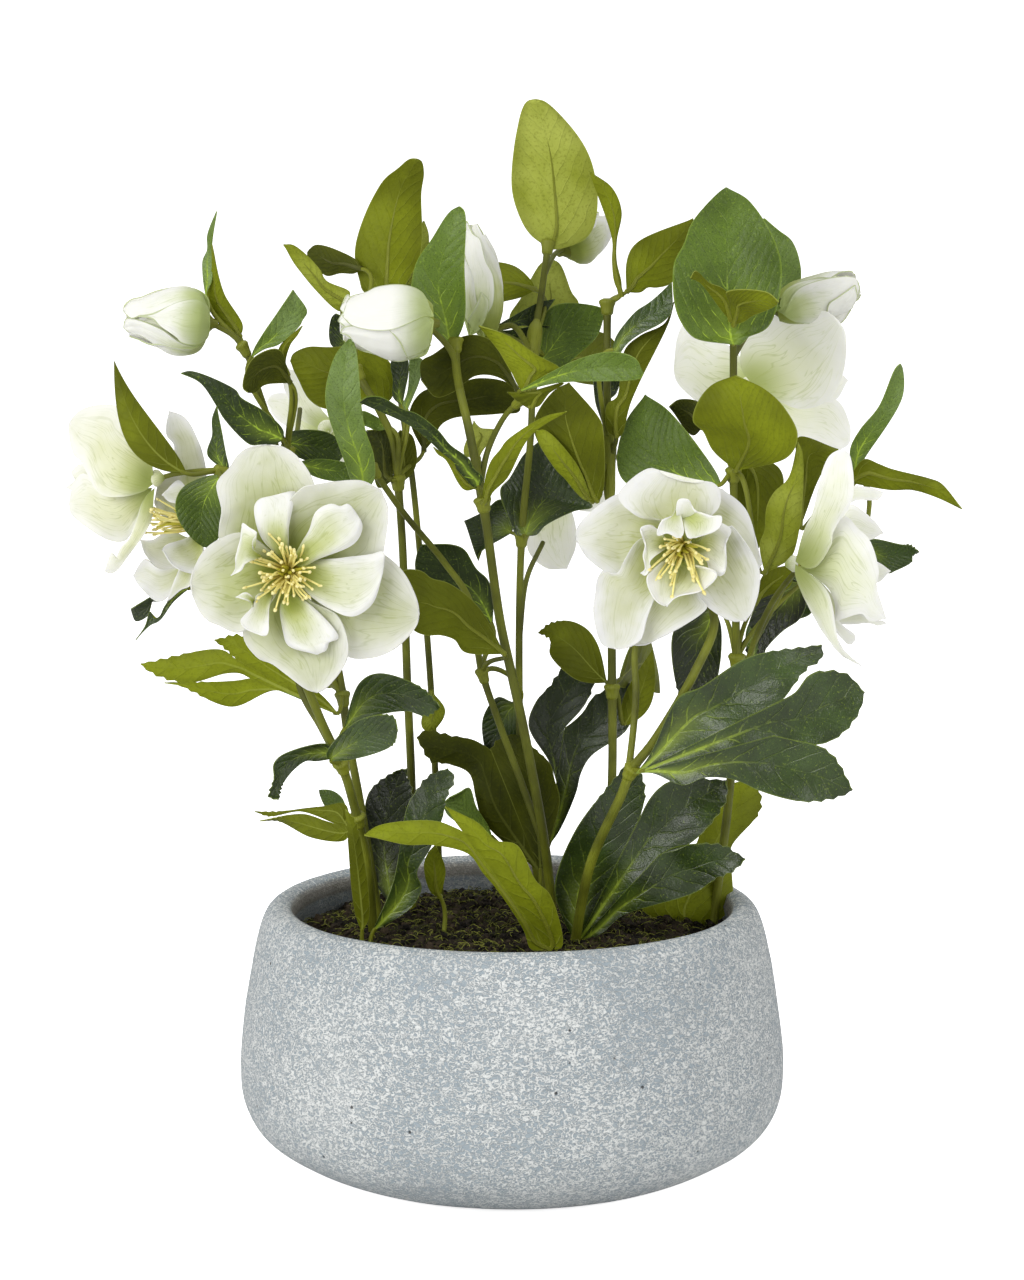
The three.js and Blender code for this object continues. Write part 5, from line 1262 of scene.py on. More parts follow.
# %% The blossoms: centre, the way the flower looks, which finish the eye sees first, and the petals
flowers = {
    "front_left": {"centre": (-93, 29, -74), "looks": (-0.12, -1, 0.12), "faces": (0, 1), "sepals": [
        ((-74, -80, -76), (-94, 30), [-117,37, -123,42, -123,47, -122,54, -124,66, -119,72, -115,78,
         -110,81], (-103, 82), [-96,81, -90,77, -83,65, -85,47], 0.16, 0),
        ((-74, -80, -75), (-94, 29), [-82,31, -58,37, -54,36, -46,29, -40,17], (-39, 11), [-40,6, -53,-6,
         -69,-7, -71,-1], 0.16, 0),
        ((-74, -84, -82), (-94, 29), [-85,17, -73,10, -69,-7, -79,-21], (-82, -22), [-86,-21, -101,-10,
         -106,-8, -112,-1, -113,5, -111,10, -105,17], 0.16, 0),
        ((-75, -84, -80), (-94, 29), [-97,43, -97,53, -88,64, -84,65, -64,67], (-55, 63), [-52,55, -54,36,
         -55,31, -64,29], 0.16, 0),
        ((-75, -86, -84), (-94, 29), [-99,19, -111,5, -116,3, -123,6, -129,9, -134,18], (-135, 24),
         [-134,29, -128,39, -114,45, -102,38], 0.16, 0),
    ], "petals": [
        ((-78, -88, -84), (-95, 33), [-105,43, -108,56, -106,59], (-102, 60), [-91,62, -92,57, -94,47,
         -94,36], 0.2, 3),
        ((-78, -86, -86), (-91, 29), [-84,33, -76,34, -59,36, -54,37], (-54, 31), [-55,26, -59,15, -67,10,
         -76,13, -87,21], 0.18, 2),
        ((-78, -92, -90), (-93, 32), [-88,41, -85,46, -82,54, -76,57, -72,56, -69,57], (-66, 54), [-63,48,
         -66,41, -82,34, -88,31], 0.22, 3),
        ((-78, -87, -88), (-94, 19), [-88,17, -73,1, -77,-1, -78,-4], (-82, -6), [-94,-2, -96,4, -97,15],
         0.22, 3),
        ((-80, -90, -95), (-100, 21), [-102,13, -103,2], (-108, 3), [-112,5, -114,8, -109,14, -107,19], 0.1,
         0),
        ((-86, -94, -92), (-108, 16), [-109,14, -110,16], (-116, 18), [-112,20, -108,17], 0.1, 0),
        ((-84, -94, -88), (-105, 35), [-112,32, -114,29], (-118, 27), [-116,30, -116,35, -114,43, -113,49,
         -110,47, -107,45, -109,42, -109,39], 0.1, 0),
    ]},
    "front_right": {"centre": (72, 40, -78), "looks": (-0.15, -1, -0.1), "faces": (0, 1), "sepals": [
        ((-76, -80, -72), (71, 39), [75,46, 84,62, 87,64, 90,62, 98,55], (105, 32), [103,29, 100,32, 82,35],
         0.16, 0),
        ((-76, -82, -80), (71, 39), [80,39, 87,44, 92,48, 95,45, 104,29, 101,12], (98, 8), [92,8, 80,16,
         72,33], 0.16, 0),
        ((-76, -84, -82), (71, 39), [75,31, 79,18, 82,14, 61,0], (56, -2), [51,-2, 47,2, 47,10, 52,18],
         0.16, 0),
        ((-76, -81, -76), (71, 39), [65,35, 48,28, 45,26, 32,34], (27, 42), [27,46, 30,51, 47,62, 55,57,
         65,49], 0.16, 0),
        ((-76, -88, -84), (71, 39), [66,31, 57,10, 54,0, 49,-3], (45, -4), [38,-2, 34,12, 35,20, 36,26,
         38,29, 44,28, 47,33, 53,42, 58,43], 0.16, 0),
        ((-76, -87, -84), (71, 39), [67,49, 53,52, 45,59, 45,62, 58,72, 65,69], (71, 67), [77,66, 84,66,
         87,63, 87,56, 80,49], 0.2, 2),
    ], "petals": [
        ((-78, -90, -95), (70, 36), [75,32, 85,29, 86,27, 80,21, 69,18], (65, 14), [61,16, 57,23, 57,27,
         65,34], 0.3, 0),
        ((-80, -90, -92), (67, 40), [58,33, 58,30, 56,27], (54, 28), [56,30, 55,36, 56,40, 54,47, 56,48,
         59,48], 0.12, 0),
        ((-79, -88, -92), (75, 40), [80,43, 84,49, 88,49, 92,46, 90,43], (90, 32), [89,28, 87,27, 83,30,
         82,33, 78,36], 0.15, 2),
        ((-80, -92, -98), (71, 41), [69,54, 70,59, 74,59], (75, 57), [77,54, 80,52, 76,43], 0.1, 0),
        ((-88, -97, -101), (70, 58), [72,45], (71, 43), [69,43, 65,45, 61,44, 63,50, 67,52], 0.06, 0),
        ((-88, -98, -102), (71, 55), [75,54, 77,54, 84,52, 88,52, 87,47], (77, 43), [74,43, 73,45], 0.06,
         0),
    ]},
    "left_away": {"centre": (-149, 68, -34), "looks": (-0.85, 0.4, -0.1), "faces": (1, 0), "sepals": [
        ((-34, -20, -4), (-151, 65), [-166,61, -178,62, -185,63], (-187, 64), [-183,68, -185,70, -181,74,
         -175,72, -163,67], -0.1, 0),
        ((-34, -26, -8), (-151, 64), [-154,57, -157,52, -162,42, -169,42, -185,53], (-186, 57), [-184,66,
         -180,70, -175,67, -166,62], -0.14, 0),
        ((-34, -38, -24), (-150, 64), [-152,49, -156,42, -160,37, -166,29, -169,28], (-171, 29), [-168,37,
         -167,34, -164,39, -161,42, -154,60], -0.2, 0),
        ((-35, -34, -12), (-150, 66), [-156,62, -172,61, -181,75, -184,78, -186,87], (-186, 91), [-183,95,
         -177,98, -166,98, -164,93, -153,80], -0.16, 0),
    ]},
    "left_side": {"centre": (-132, 49, -30), "looks": (-0.95, -0.25, 0.08), "faces": (0, 1), "sepals": [
        ((-30, -26, -20), (-133, 50), [-137,58, -142,76, -142,82, -145,86, -145,91], (-144, 96), [-140,95,
         -136,92, -129,75, -129,62], -0.12, 0),
        ((-30, -26, -24), (-133, 50), [-139,48, -145,49, -148,54, -150,57], (-149, 62), [-148,67, -140,69,
         -136,63], 0.1, 0),
        ((-29, -22, -20), (-133, 48), [-136,36, -140,29, -148,30, -154,36], (-156, 42), [-151,42, -144,46,
         -135,43], 0.12, 0),
        ((-30, -34, -32), (-133, 40), [-142,21, -148,16, -156,22], (-159, 27), [-157,31, -154,34, -148,30,
         -140,31], 0.12, 0),
        ((-30, -36, -36), (-132, 39), [-135,23, -139,21], (-145, 16), [-139,31], 0.12, 0),
        ((-31, -40, -44), (-130, 43), [-130,30, -134,28, -142,31], (-147, 38), [-145,40, -136,43, -133,45],
         0.14, 0),
        ((-31, -36, -36), (-133, 51), [-140,57, -144,58], (-147, 61), [-140,67, -136,62], 0.1, 0),
    ]},
    "back_right": {"centre": (99, 107, 62), "looks": (0.15, 0.95, 0.2), "faces": (1, 0), "sepals": [
        ((62, 74, 80), (101, 107), [122,100, 136,101, 142,90], (142, 84), [141,82, 137,80, 128,83, 120,85,
         111,91, 104,99], -0.14, 0),
        ((62, 74, 80), (101, 107), [96,99, 86,96, 73,104, 69,109], (68, 114), [70,129, 73,133, 82,127,
         92,123, 98,115], -0.14, 0),
        ((61, 72, 78), (101, 107), [119,115, 138,112], (141, 109), [136,101, 128,99], -0.1, 0),
        ((60, 46, 24), (101, 107), [96,115, 98,127, 105,130, 109,135, 115,138, 123,137, 132,138],
         (137, 134), [140,129, 139,112, 133,101, 122,97, 111,101], -0.14, 0),
        ((60, 70, 76), (101, 107), [106,101, 109,93, 107,84], (100, 81), [92,84, 86,93, 88,103], -0.1, 0),
    ]},
    "right_side": {"centre": (118, 32, -27), "looks": (0.95, 0.2, 0.05), "faces": (1, 0), "sepals": [
        ((-30, -22, -14), (121, 33), [135,54, 142,64, 150,64], (156, 62), [154,59, 143,58], -0.1, 0),
        ((-30, -26, -20), (121, 33), [139,53, 142,57, 151,51], (156, 45), [150,42, 145,43, 133,36], -0.1,
         0),
        ((-30, -30, -24), (121, 31), [145,35, 153,33], (159, 29), [153,24, 127,28], -0.1, 0),
        ((-30, -34, -30), (122, 30), [130,24, 139,14, 147,11, 152,8, 156,8], (157, 7), [154,6, 151,7,
         135,8], -0.1, 0),
        ((-30, -36, -34), (120, 30), [130,18, 138,7, 144,2], (144, 0), [142,-2, 139,0], -0.1, 0),
        ((-31, -40, -38), (120, 31), [128,31, 132,36, 134,43, 140,52, 145,47, 150,42, 154,28, 153,24],
         (157, 9), [150,8, 147,11, 139,9, 136,8, 136,13, 134,20, 128,26], -0.12, 0),
        ((-33, -50, -54), (119, 33), [123,47, 126,53, 131,73, 134,78], (138, 80), [141,79, 143,60, 135,46,
         134,40, 128,31, 124,30], -0.2, 0),
        ((-33, -49, -52), (119, 32), [132,21, 138,-2], (147, -11), [141,-8, 138,-6, 130,4, 119,27], -0.25,
         0),
    ]},
    "back_left": {"centre": (-78, 89, 50), "looks": (-0.3, 0.9, 0.3), "faces": (1, 0), "sepals": [
        ((50, 56, 58), (-78, 88), [-89,93, -93,100, -96,107], (-94, 114), [-89,112, -80,97, -76,91], -0.1,
         0),
        ((50, 58, 62), (-78, 88), [-82,85, -99,93], (-103, 100), [-101,103, -92,103, -85,95], -0.1, 0),
        ((50, 58, 62), (-78, 88), [-70,88, -67,82], (-68, 75), [-74,74, -80,78], -0.1, 0),
    ]},
    "back_middle": {"centre": (15, 65, 60), "looks": (0.35, 0.9, -0.1), "faces": (1, 0), "sepals": [
        ((60, 66, 70), (15, 65), [22,59, 26,51, 27,40], (23, 30), [15,30, 7,37, 7,46], -0.12, 0),
        ((60, 66, 70), (15, 65), [12,72, 14,84], (19, 91), [25,84, 24,72], -0.12, 0),
        ((60, 66, 72), (15, 65), [27,67, 36,64], (40, 59), [33,54, 23,57], -0.1, 0),
    ]},
}

# %% Petals by outline
SEPAL_THICKNESS = 0.0006
PETAL_GRID = (38, 25)
MAP_SHIFT = (0, 5)


def crossed(x, y, low, high, rng):
    """A sine wave along x times one along y, each of a random length and phase."""
    first, second = (np.sin(part * rng.uniform(low, high) + rng.uniform(*ANY_PHASE)) for part in (x, y))
    return first * second


def petal(rng, faces, backs, base, before, tip, after, scoop, lip):
    """Straight rows from edge to edge; depth = parabola of distance + scoop * half width + rim curl."""
    t, v = grid(*PETAL_GRID)
    left, right = outline(PETAL_GRID[0], base, before, tip, after)
    flat = between(left, right, v)
    x, y = flat[..., 0], flat[..., 1]
    away = np.linalg.norm(flat - base, axis=-1)
    away = away / away.max()
    rim = np.maximum(np.abs(v) ** 3, ease((t - 0.72) * 3.5))
    hollow = scoop * half_width(left, right) * (1 - v ** 2) * ease(t * 4)
    wave, fine = crossed(x, y, 0.2, 0.3, rng), crossed(x, y, 0.5, 0.7, rng)
    crinkle = (0.9 * wave + 0.35 * fine) * ease(away * 3) * (0.5 + 0.7 * rim)
    back = depth(backs, away) + hollow + lip * rim ** 2 * ease(t * 3) + crinkle
    fan = paired(away, 0.5 + (0.25 + 0.25 * t) * v) + rng.uniform(*MAP_SHIFT)
    edge = np.maximum(np.abs(v), ease((t - 0.8) * 4))
    return sheet(sight(x, y, back), SEPAL_THICKNESS * lerp(1.4, 0.8, t), faces, fan, reach=away, edge=edge)


# %% Stamens and carpels
GOLDEN_TURN = 2.39996
CUP = [(0.0004, -0.0035), (0.0012, -0.003), (0.0022, -0.0018), (0.0034, -0.0004), (0.0036, 0.0006),
       (0.003, 0.0014), (0.0014, 0.0018)]
DISC = [(0.0008, -0.0006), (0.003, -0.0002), (0.0032, 0.0006), (0.002, 0.0012)]
DISC_RADIUS = 0.0026
THREAD_STEPS = 6
THREAD = (0.0005, 0.0004)
HEAD_LENGTH = 0.0024
HEAD_RADIUS = 0.00072
CARPELS = 5
CARPEL = np.array([0.0013, 0.0013, 0.0011, 0.0008, 0.0005, 0.0003])


def stamens(place, axis, rng, count, length, spread, droop=0.0):
    """Paths that fan out from a disc: golden turns, a lean that grows outwards, and tips that hang."""
    side = unit(np.cross(axis, UP))
    order = np.arange(count) / count
    turn = np.arange(count) * GOLDEN_TURN + rng.uniform(-0.3, 0.3, count)
    lean = spread * np.sqrt((order + 0.4) / 1.4) * rng.uniform(0.85, 1.1, count)
    out = compass(side, np.cross(axis, side), turn)
    way = unit(compass(axis, out, lean))
    long = length * rng.uniform(0.75, 1.1, count)
    share = np.linspace(0, 1, THREAD_STEPS)[:, None]
    foot = place + out * DISC_RADIUS * order[:, None]
    curl = (axis * 0.25 - UP * droop) * share ** 2
    sway = rng.normal(size=(count, 1, 3)) * 0.22 * share ** 2
    return foot[:, None] + long[:, None, None] * (way[:, None] * share + curl + sway)


def tuft(place, axis, rng, count, length, spread, droop):
    """Threads that end in small heads, a few green carpels among them, and the disc they stand on."""
    path = stamens(place, axis, rng, count, length, spread, droop)
    threads = copies(rings_round(path, np.linspace(*THREAD, THREAD_STEPS), 5))
    last = path[:, -1] - path[:, -2]
    way = unit(last + 0.25 * rng.normal(size=last.shape) * np.linalg.norm(last, axis=1)[:, None])
    share = np.linspace(-0.5, 0.5, THREAD_STEPS)
    grain = path[:, -1:] + way[:, None] * share[:, None] * HEAD_LENGTH
    bulge = HEAD_RADIUS * np.sqrt(np.maximum(1 - (2 * share) ** 2, 0.03))
    heads = copies(rings_round(grain, bulge * rng.uniform(0.8, 1.2, (count, 1)), 6), finish=1)
    few = stamens(place, axis, rng, CARPELS, length * 0.72, 0.3)
    green = copies(rings_round(few, CARPEL, 8), finish=2)
    return [threads, heads, green, turned(DISC, place, axis, finish=2)]


# %% The blossoms, piece by piece
PETAL_LIFT = 0.0025
STAMEN_LIFT = 0.0014
TUFTS = {  # how many stamens, how long, how far they spread and how much they hang
    "front_left": (70, 0.0125, 1.0, 0.0),
    "front_right": (38, 0.0114, 0.95, 0.35),
    "left_side": (22, 0.0155, 0.45, 0.0),
    "right_side": (18, 0.011, 0.3, 0.0),
}
FACES = {"front_left": sepal_deep}
# The blossoms at the back and side get paler, more strongly glowing backs: painted light where they lie in
# shade
BACKS = {"right_side": sepal_pale_painted_glow, "back_right": sepal_far_painted_glow, "back_left": sepal_far_painted_glow, "back_middle": sepal_far_painted_glow}

for name, flower in flowers.items():
    title = "flower_" + name
    rng = seed_of(title)
    heart, axis = sight(*flower["centre"]), unit(np.array(flower["looks"], float))
    sepals = [petal(rng, flower["faces"], *row) for row in flower["sepals"]]
    sepals.append(turned(CUP, heart, axis, finish=1))
    outer = [FACES.get(name, sepal_face), BACKS.get(name, sepal_back)]
    piece(title + ("_sepals" if name in TUFTS else ""), sepals, outer)
    lift, middle = STAMEN_LIFT, "_heart"
    if "petals" in flower:
        inner = [petal(rng, (0, 1), *row) for row in flower["petals"]]
        piece(title + "_petals", inner, [inner_petal, inner_petal])
        lift, middle = PETAL_LIFT + STAMEN_LIFT, "_stamens"
    if name in TUFTS:
        surfaces = tuft(heart + axis * lift, axis, rng, *TUFTS[name])
        piece(title + middle, surfaces, [filament, anther, carpel])

# %% [markdown]
# ## Buds
#
# A bud is a few sepals still wrapped round each other. Each one is a sheet rolled round an egg shape; it
# starts a little further out than the one before, so the free edges show as steps. The egg's profile
# gives its radius, as a share of the greatest one, at each share of its length. The sheets on the near
# side are given by outline and laid on the egg; plain ones, in two layers, close the rest.

# %% The buds: foot, tip, greatest radius, profile and the outlines of the near sheets
buds = {
    "bud_left": {"foot": (-127.5, 133, 0), "tip": (-163, 135, -4), "radius": 14.8,
        "profile": [0,0.35, 0.1,0.83, 0.2,0.95, 0.31,1, 0.45,0.95, 0.57,0.83, 0.69,0.7, 0.81,0.54,
         0.93,0.48, 1,0.3], "sheets": [
        ((-127, 130), [-131,122, -135,120, -143,120, -156,128, -160,129], (-163, 131), [-162,135, -148,131,
         -139,125, -133,124]),
        ((-127, 136), [-132,142, -140,141, -151,136, -156,136, -160,135], (-163, 138), [-163,140, -160,143,
         -156,144, -148,147, -135,148, -128,144]),
        ((-127, 133), [-128,127, -133,124, -139,125, -141,127, -148,132, -151,135], (-157, 136), [-151,137,
         -140,142, -132,143, -128,140]),
    ]},
    "bud_front": {"foot": (-34.5, 133, -24), "tip": (-72.5, 134, -30), "radius": 15.8, "pale": 0.4,
        "profile": [0,0.6, 0.07,0.75, 0.14,0.87, 0.25,0.97, 0.41,1, 0.6,0.9, 0.74,0.74, 0.88,0.58, 1,0.38],
         "sheets": [
        ((-62, 134), [-66,131, -69,131], (-73, 134), [-70,138]),
        ((-61, 138), [-70,137], (-72, 139), [-69,145, -67,143]),
        ((-34, 133), [-34,128, -36,120, -42,118, -49,117, -66,125, -69,128], (-72, 129), [-71,131, -67,132,
         -52,131, -46,132, -41,135, -36,136]),
        ((-33, 134), [-36,120, -39,119, -43,118, -47,125], (-52, 131), [-46,132, -41,135, -36,136]),
        ((-33, 136), [-36,136, -52,130, -67,132], (-71, 136), [-68,144, -61,146, -57,148, -46,149,
         -38,146]),
    ]},
    "bud_middle": {"foot": (-10.5, 127, 28), "tip": (-16.5, 176, 30), "radius": 9.6,
        "profile": [0,0.3, 0.1,0.6, 0.2,0.82, 0.3,0.95, 0.42,1, 0.55,0.95, 0.65,0.84, 0.75,0.7, 0.87,0.45,
         1,0.12], "sheets": [
        ((-18, 128), [-20,135, -21,141, -22,149], (-19, 176), [-16,170, -14,169, -11,159, -8,153, -8,141,
         -11,136, -14,130]),
        ((-18, 128), [-19,133, -15,141], (-13, 146), [-10,143, -10,139, -14,130]),
    ]},
    "bud_right": {"foot": (111, 139.5, 36), "tip": (146.5, 149, 36), "radius": 10.2,
        "profile": [0,0.5, 0.1,0.75, 0.25,0.95, 0.42,1, 0.6,0.96, 0.8,0.85, 0.93,0.66, 1,0.35], "sheets": [
        ((112, 138), [115,147, 128,152, 134,152, 136,153, 137,152], (141, 153), [140,151, 133,151, 120,146,
         117,142, 115,137]),
        ((114, 137), [121,148, 144,152], (146, 148), [145,144, 138,133, 133,133, 118,134]),
        ((132, 133), [133,141, 137,144], (144, 149), [145,144, 143,140, 138,133]),
    ]},
    "bud_top": {"foot": (22, 164, 76), "tip": (39, 176, 90), "radius": 11,
        "profile": [0,0.3, 0.12,0.75, 0.3,1, 0.55,0.95, 0.8,0.7, 1,0.35], "sheets": [
    ]},
}

# %% Buds
BUD_GRID = (26, 19)
WRAP = math.radians(78)
WRAP_INNER = 3
LAYER = 0.8


def egg_sheet(bud, layer, rng, base, before, tip, after):
    """An outline laid on the near side of the egg: depth = middle - sqrt(radius^2 - distance^2)."""
    v = grid(*PETAL_GRID)[1]
    flat = between(*outline(PETAL_GRID[0], base, before, tip, after), v)
    foot, end = np.array(bud["foot"], float), np.array(bud["tip"], float)
    axis = (end - foot)[:2]
    gone = flat - foot[:2]
    share = gone @ axis / (axis @ axis)
    off = gone @ [axis[1], -axis[0]] / np.linalg.norm(axis)
    radius = bud["radius"] * np.interp(share, *pairs(bud["profile"]).T)
    folds = np.sin(9 * share + 2.5 * v + rng.uniform(*ANY_PHASE)) * np.sin(4 * v + rng.uniform(*ANY_PHASE))
    raised = np.sqrt(np.maximum(radius ** 2 - off ** 2, 0.3)) + LAYER * layer + 0.3 * folds
    back = lerp(foot[2], end[2], share) - raised - 0.5 * np.abs(v) ** 8
    points = sight(flat[..., 0], flat[..., 1], back)
    uv = paired(share, 0.5 + 0.5 * v) + rng.uniform(*MAP_SHIFT)
    tone = bud.get("pale", 0)
    return sheet(points, SEPAL_THICKNESS, (0, 1), uv, reach=share.clip(0, 1), edge=np.abs(v), tone=tone)


def bud_surfaces(bud, rng):
    """Wrapped sepals on an egg, the near ones by outline, a green cup at the foot and a core."""
    start, end, radius = sight(*bud["foot"]), sight(*bud["tip"]), MM * bud["radius"]
    length, axis = np.linalg.norm(end - start), unit(end - start)
    side = unit(np.cross(axis, [0, 0.3, 1]))
    t, v = grid(*BUD_GRID)
    made = [egg_sheet(bud, layer, rng, *row) for layer, row in enumerate(bud["sheets"])]
    for number in range(2 * WRAP_INNER):
        inner = number < WRAP_INNER
        turn = number * FULL_TURN / WRAP_INNER + (0 if inner else 0.5) + rng.uniform(-0.15, 0.15)
        narrow = lerp(1, 0.45, ease((t - 0.55) / 0.45))
        angle = turn + v * WRAP * narrow + rng.uniform(-0.1, 0.1)
        height = t * (0.97 if inner else rng.uniform(0.86, 0.95))
        wide = np.interp(height, *pairs(bud["profile"]).T) * radius * (0.82 if inner else 0.9)
        folds = np.sin(9 * t + 4 * v + rng.uniform(*ANY_PHASE)) * ease(t * 3)
        wide = wide + v * 0.0005 + 0.0006 * np.abs(v) ** 3 + 0.0003 * folds
        out = compass(side, np.cross(axis, side), angle) * wide[..., None]
        points = start + axis * length * height[..., None] + out
        uv = paired(t, 0.5 + 0.5 * v) + rng.uniform(*MAP_SHIFT)
        made.append(sheet(points[:, ::-1], SEPAL_THICKNESS, (0, 1), uv[:, ::-1], reach=t, edge=np.abs(v)))
    core = np.array([(0.3, 0.02), (0.65, 0.3), (0.7, 0.5), (0.45, 0.75), (0.1, 0.88)]) * (radius, length)
    cup = [(0.0016, -0.004), (0.0022, -0.002), (0.0042, 0.0), (0.3 * radius, 0.0012), (0.2 * radius, 0.002)]
    return made + [turned(core, start, axis, finish=1), turned(cup, start, axis, finish=2)]


for name, bud in buds.items():
    piece(name, bud_surfaces(bud, seed_of(name)), [bud_petal, inner_petal, stem_green])

# %% [markdown]
# ## Pot
#
# The pot is turned: a small foot, a full belly low down, shoulders that draw in towards a thick rounded
# lip, and a plain inside. The wall is the same closed skin all the way round, out of true by a
# fraction of a millimetre as cast pots are.

# %% The pot
pot_outside = [(56, 0), (78, 4.5), (95, 12), (108, 21.5), (114, 33), (115.5, 47), (114.5, 63), (111.5, 84),
               (106, 109), (102.5, 115.2), (98, 117), (94, 115.6)]
pot_inside = [(92, 111), (97, 90), (101, 58), (97, 31), (79, 18)]
pot_underside = [(8, 0), (40, 0)]
pot_bottom = [(10, 15)]
POT_SIDES = 200
OUTSIDE_RINGS = 90
INSIDE_RINGS = 40
UNEVEN = 0.00018
STANDING = 0.002


def pot_surface():
    """Rings up the outside, over the lip and down the inside, then closed at the bottom."""
    outer, inner = curve_through(pot_outside, OUTSIDE_RINGS), curve_through(pot_inside, INSIDE_RINGS)
    line = MM * np.vstack([pot_underside, outer, inner, pot_bottom])
    radius, height = line.T[..., None, None]
    out = compass(EAST, NORTH, circle(POT_SIDES))
    rings = out * radius + UP * height
    uneven = UNEVEN * ripple(rings.reshape(-1, 3), 0.05, seed_of("pot")).reshape(rings.shape[:2])
    rings = rings - out * np.abs(uneven)[..., None] * (height > STANDING)
    inside = np.arange(len(line)) >= len(pot_underside) + OUTSIDE_RINGS
    return skin(rings, reach=inside.astype(float))


piece("pot", [pot_surface()], [pot_wash])

# %% [markdown]
# ## Soil
#
# The soil is a low crumbly heap: a bumpy surface, a few thousand loose crumbs on it and short strands
# of dry moss. Crumbs and strands are simple shapes; there are many of them and they are small.

# %% The soil, its crumbs and its moss
LUMPS = {"large": (0.0018, 0.045), "middle": (0.0009, 0.016), "small": (0.0004, 0.006)}  # height, size
SOIL_RINGS = 90
SOIL_SIDES = 220
SOIL_RADII = (0.0938, 0.001)
DRUM = ((0.3, 0.088), (1.0, 0.089), (1.0, 0.095))  # share of the radius, height
CRUMB = np.array([[-0.8, 0.0, 0.8], [0.55, 1.0, 0.5]])  # along its axis, and how thick there
CRUMB_SIZES = (0.0006, 0.0026)
CRUMB_FIELD = 0.0915
MOSS_FIELD = 0.088
MOSS_LIFT = 0.0008
MOSS_STEPS = 5
MOSS_RADIUS = 0.00016
MANY = 2600


def soil_height(x, y):
    """The height of the ground: lumps of three sizes, lower towards the pot wall."""
    place = np.stack([x, y, 0 * x], axis=-1).reshape(-1, 3)
    lumps = sum(high * ripple(place, size, seed_of(name)) for name, (high, size) in LUMPS.items())
    top = SOIL_LEVEL - 0.0005 - 0.004 * ease((np.hypot(x, y) - 0.05) / 0.04)
    return top + np.clip(lumps, -0.003, 0.0024).reshape(x.shape)


def soil_surface():
    """A disc of rings, closed below by a plain drum."""
    flat = np.linspace(*SOIL_RADII, SOIL_RINGS)[:, None, None] * compass(EAST, NORTH, circle(SOIL_SIDES))
    top = flat + UP * soil_height(flat[..., 0], flat[..., 1])[..., None]
    low = [flat[0] * share + UP * height for share, height in DRUM]
    return skin(np.concatenate([low, top]))


def scattered(count, radius, lift, rng):
    """Places spread evenly over the ground: the distance from the middle goes with a root."""
    radius = radius * np.sqrt(rng.uniform(0, 1, count))
    turn = rng.uniform(0, FULL_TURN, count)
    x, y = radius * np.cos(turn), radius * np.sin(turn)
    return np.stack([x, y, soil_height(x, y) + lift], axis=-1)


def crumbs(count, rng):
    """Rounded crumbs: small drums with pinched ends, turned and scattered on the ground."""
    centre = scattered(count, CRUMB_FIELD, 0, rng)
    size = rng.uniform(*CRUMB_SIZES, count) * rng.uniform(0.5, 1, count)
    centre = centre + UP * 0.3 * size[:, None]
    way = unit(rng.normal(size=(count, 3)))
    path = centre[:, None] + way[:, None] * CRUMB[0][:, None] * size[:, None, None]
    girth = CRUMB[1] * size[:, None] * rng.uniform(0.7, 1.2, (count, 3))
    return copies(rings_round(path, girth, 5), rng.uniform(-0.2, 0.2, count))


def strands(count, rng):
    """Curled strands of moss that lie on the ground."""
    start = scattered(count, MOSS_FIELD, MOSS_LIFT, rng)
    heading = rng.uniform(0, FULL_TURN, (count, 1))
    heading = heading + rng.uniform(-2.5, 2.5, (count, 1)) * np.linspace(0, 1, MOSS_STEPS)
    long = rng.uniform(0.002, 0.009, count)
    rise = np.sin(np.linspace(0, math.pi, MOSS_STEPS)) * rng.uniform(0.0002, 0.0016, (count, 1))
    steps = compass(EAST, NORTH, heading) * (long / MOSS_STEPS)[:, None, None]
    path = start[:, None] + np.cumsum(steps, axis=1) + UP * rise[..., None]
    return copies(rings_round(path, MOSS_RADIUS, 3), rng.uniform(-0.3, 0.3, count), finish=1)


rng = seed_of("soil")
ground = [soil_surface(), crumbs(MANY, rng), strands(MANY, rng)]
piece("soil", ground, [soil_dark, moss])

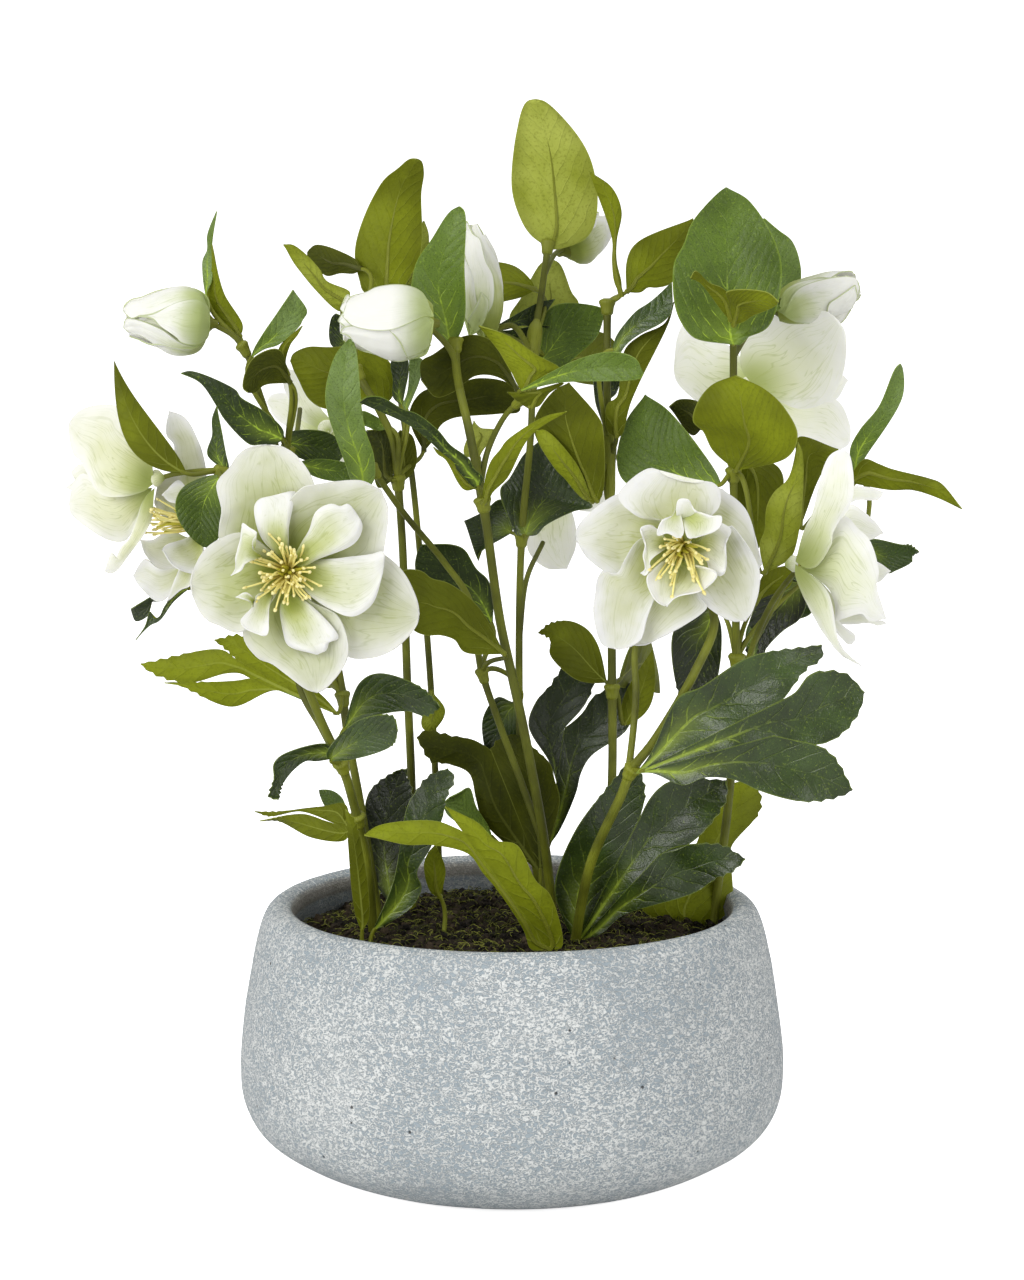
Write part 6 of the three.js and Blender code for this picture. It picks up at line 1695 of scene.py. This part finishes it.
# %% [markdown]
# ## Studio
#
# The plant stands on a wide white floor. A large soft light hangs to the left and in front, a weaker
# one fills from the right, a third hangs above, and the white room does the rest. The room is brighter
# where the camera looks straight at it, and so is the floor, except close round the pot, where the
# soft shadow has to stay.

# %% The floor
FLOOR_RADIUS = 90
FLOOR_SIDES = 48
GLOW_START = 0.03
GLOW_FULL = 0.075
WHITE = (1, 1, 1, 1)


def seen(tree):
    """1 where the camera looks straight at the surface, else 0."""
    return Wire(put(tree, "LightPath"), "Is Camera Ray")


paper = Finish("paper", Roughness=0.9, Specular_IOR_Level=0.1, Base_Color=(0.85, 0.85, 0.85, 1),
               Emission_Color=WHITE)
paper.link(Emission_Strength=step(length(paper.place), GLOW_START, GLOW_FULL) * seen(paper.tree))
mesh = bpy.data.meshes.new("floor")
mesh.from_pydata(FLOOR_RADIUS * compass(EAST, NORTH, circle(FLOOR_SIDES)), [], [tuple(range(FLOOR_SIDES))])
mesh.materials.append(paper.material)
floor = place_object("floor", mesh)
print("floor, metres across:", 2 * FLOOR_RADIUS)

# %% Lights and room
AIM = (0, 0, 0.2)
ROOM = 0.5
ROOM_SEEN = 0.6  # more of it for the camera


def lamp(name, place, size, power):
    """A square soft light that points at the plant."""
    data = bpy.data.lights.new(name, "AREA")
    data.size = size
    data.energy = power
    way = unit(np.subtract(AIM, place))
    side = unit(np.cross(way, UP))
    turn = np.column_stack([side, np.cross(side, way), -way])
    place_object(name, data, Matrix.Translation(place) @ Matrix(turn.tolist()).to_4x4())


lamp("key", (-1.4, -1.7, 1.2), 1.5, 39)
lamp("fill", (1.7, -1.2, 0.8), 1.2, 12)
lamp("top", (0.3, 0.5, 1.9), 1.0, 9)
world = bpy.data.worlds.new("room")
world.use_nodes = True
room = world.node_tree.nodes["Background"]
room.inputs["Color"].default_value = WHITE
brightness = seen(world.node_tree) * ROOM_SEEN + ROOM
world.node_tree.links.new(brightness.socket, room.inputs["Strength"])
bpy.context.scene.world = world
bpy.context.scene.view_settings.view_transform = "Standard"
print("lights:", [light.name for light in bpy.data.lights])
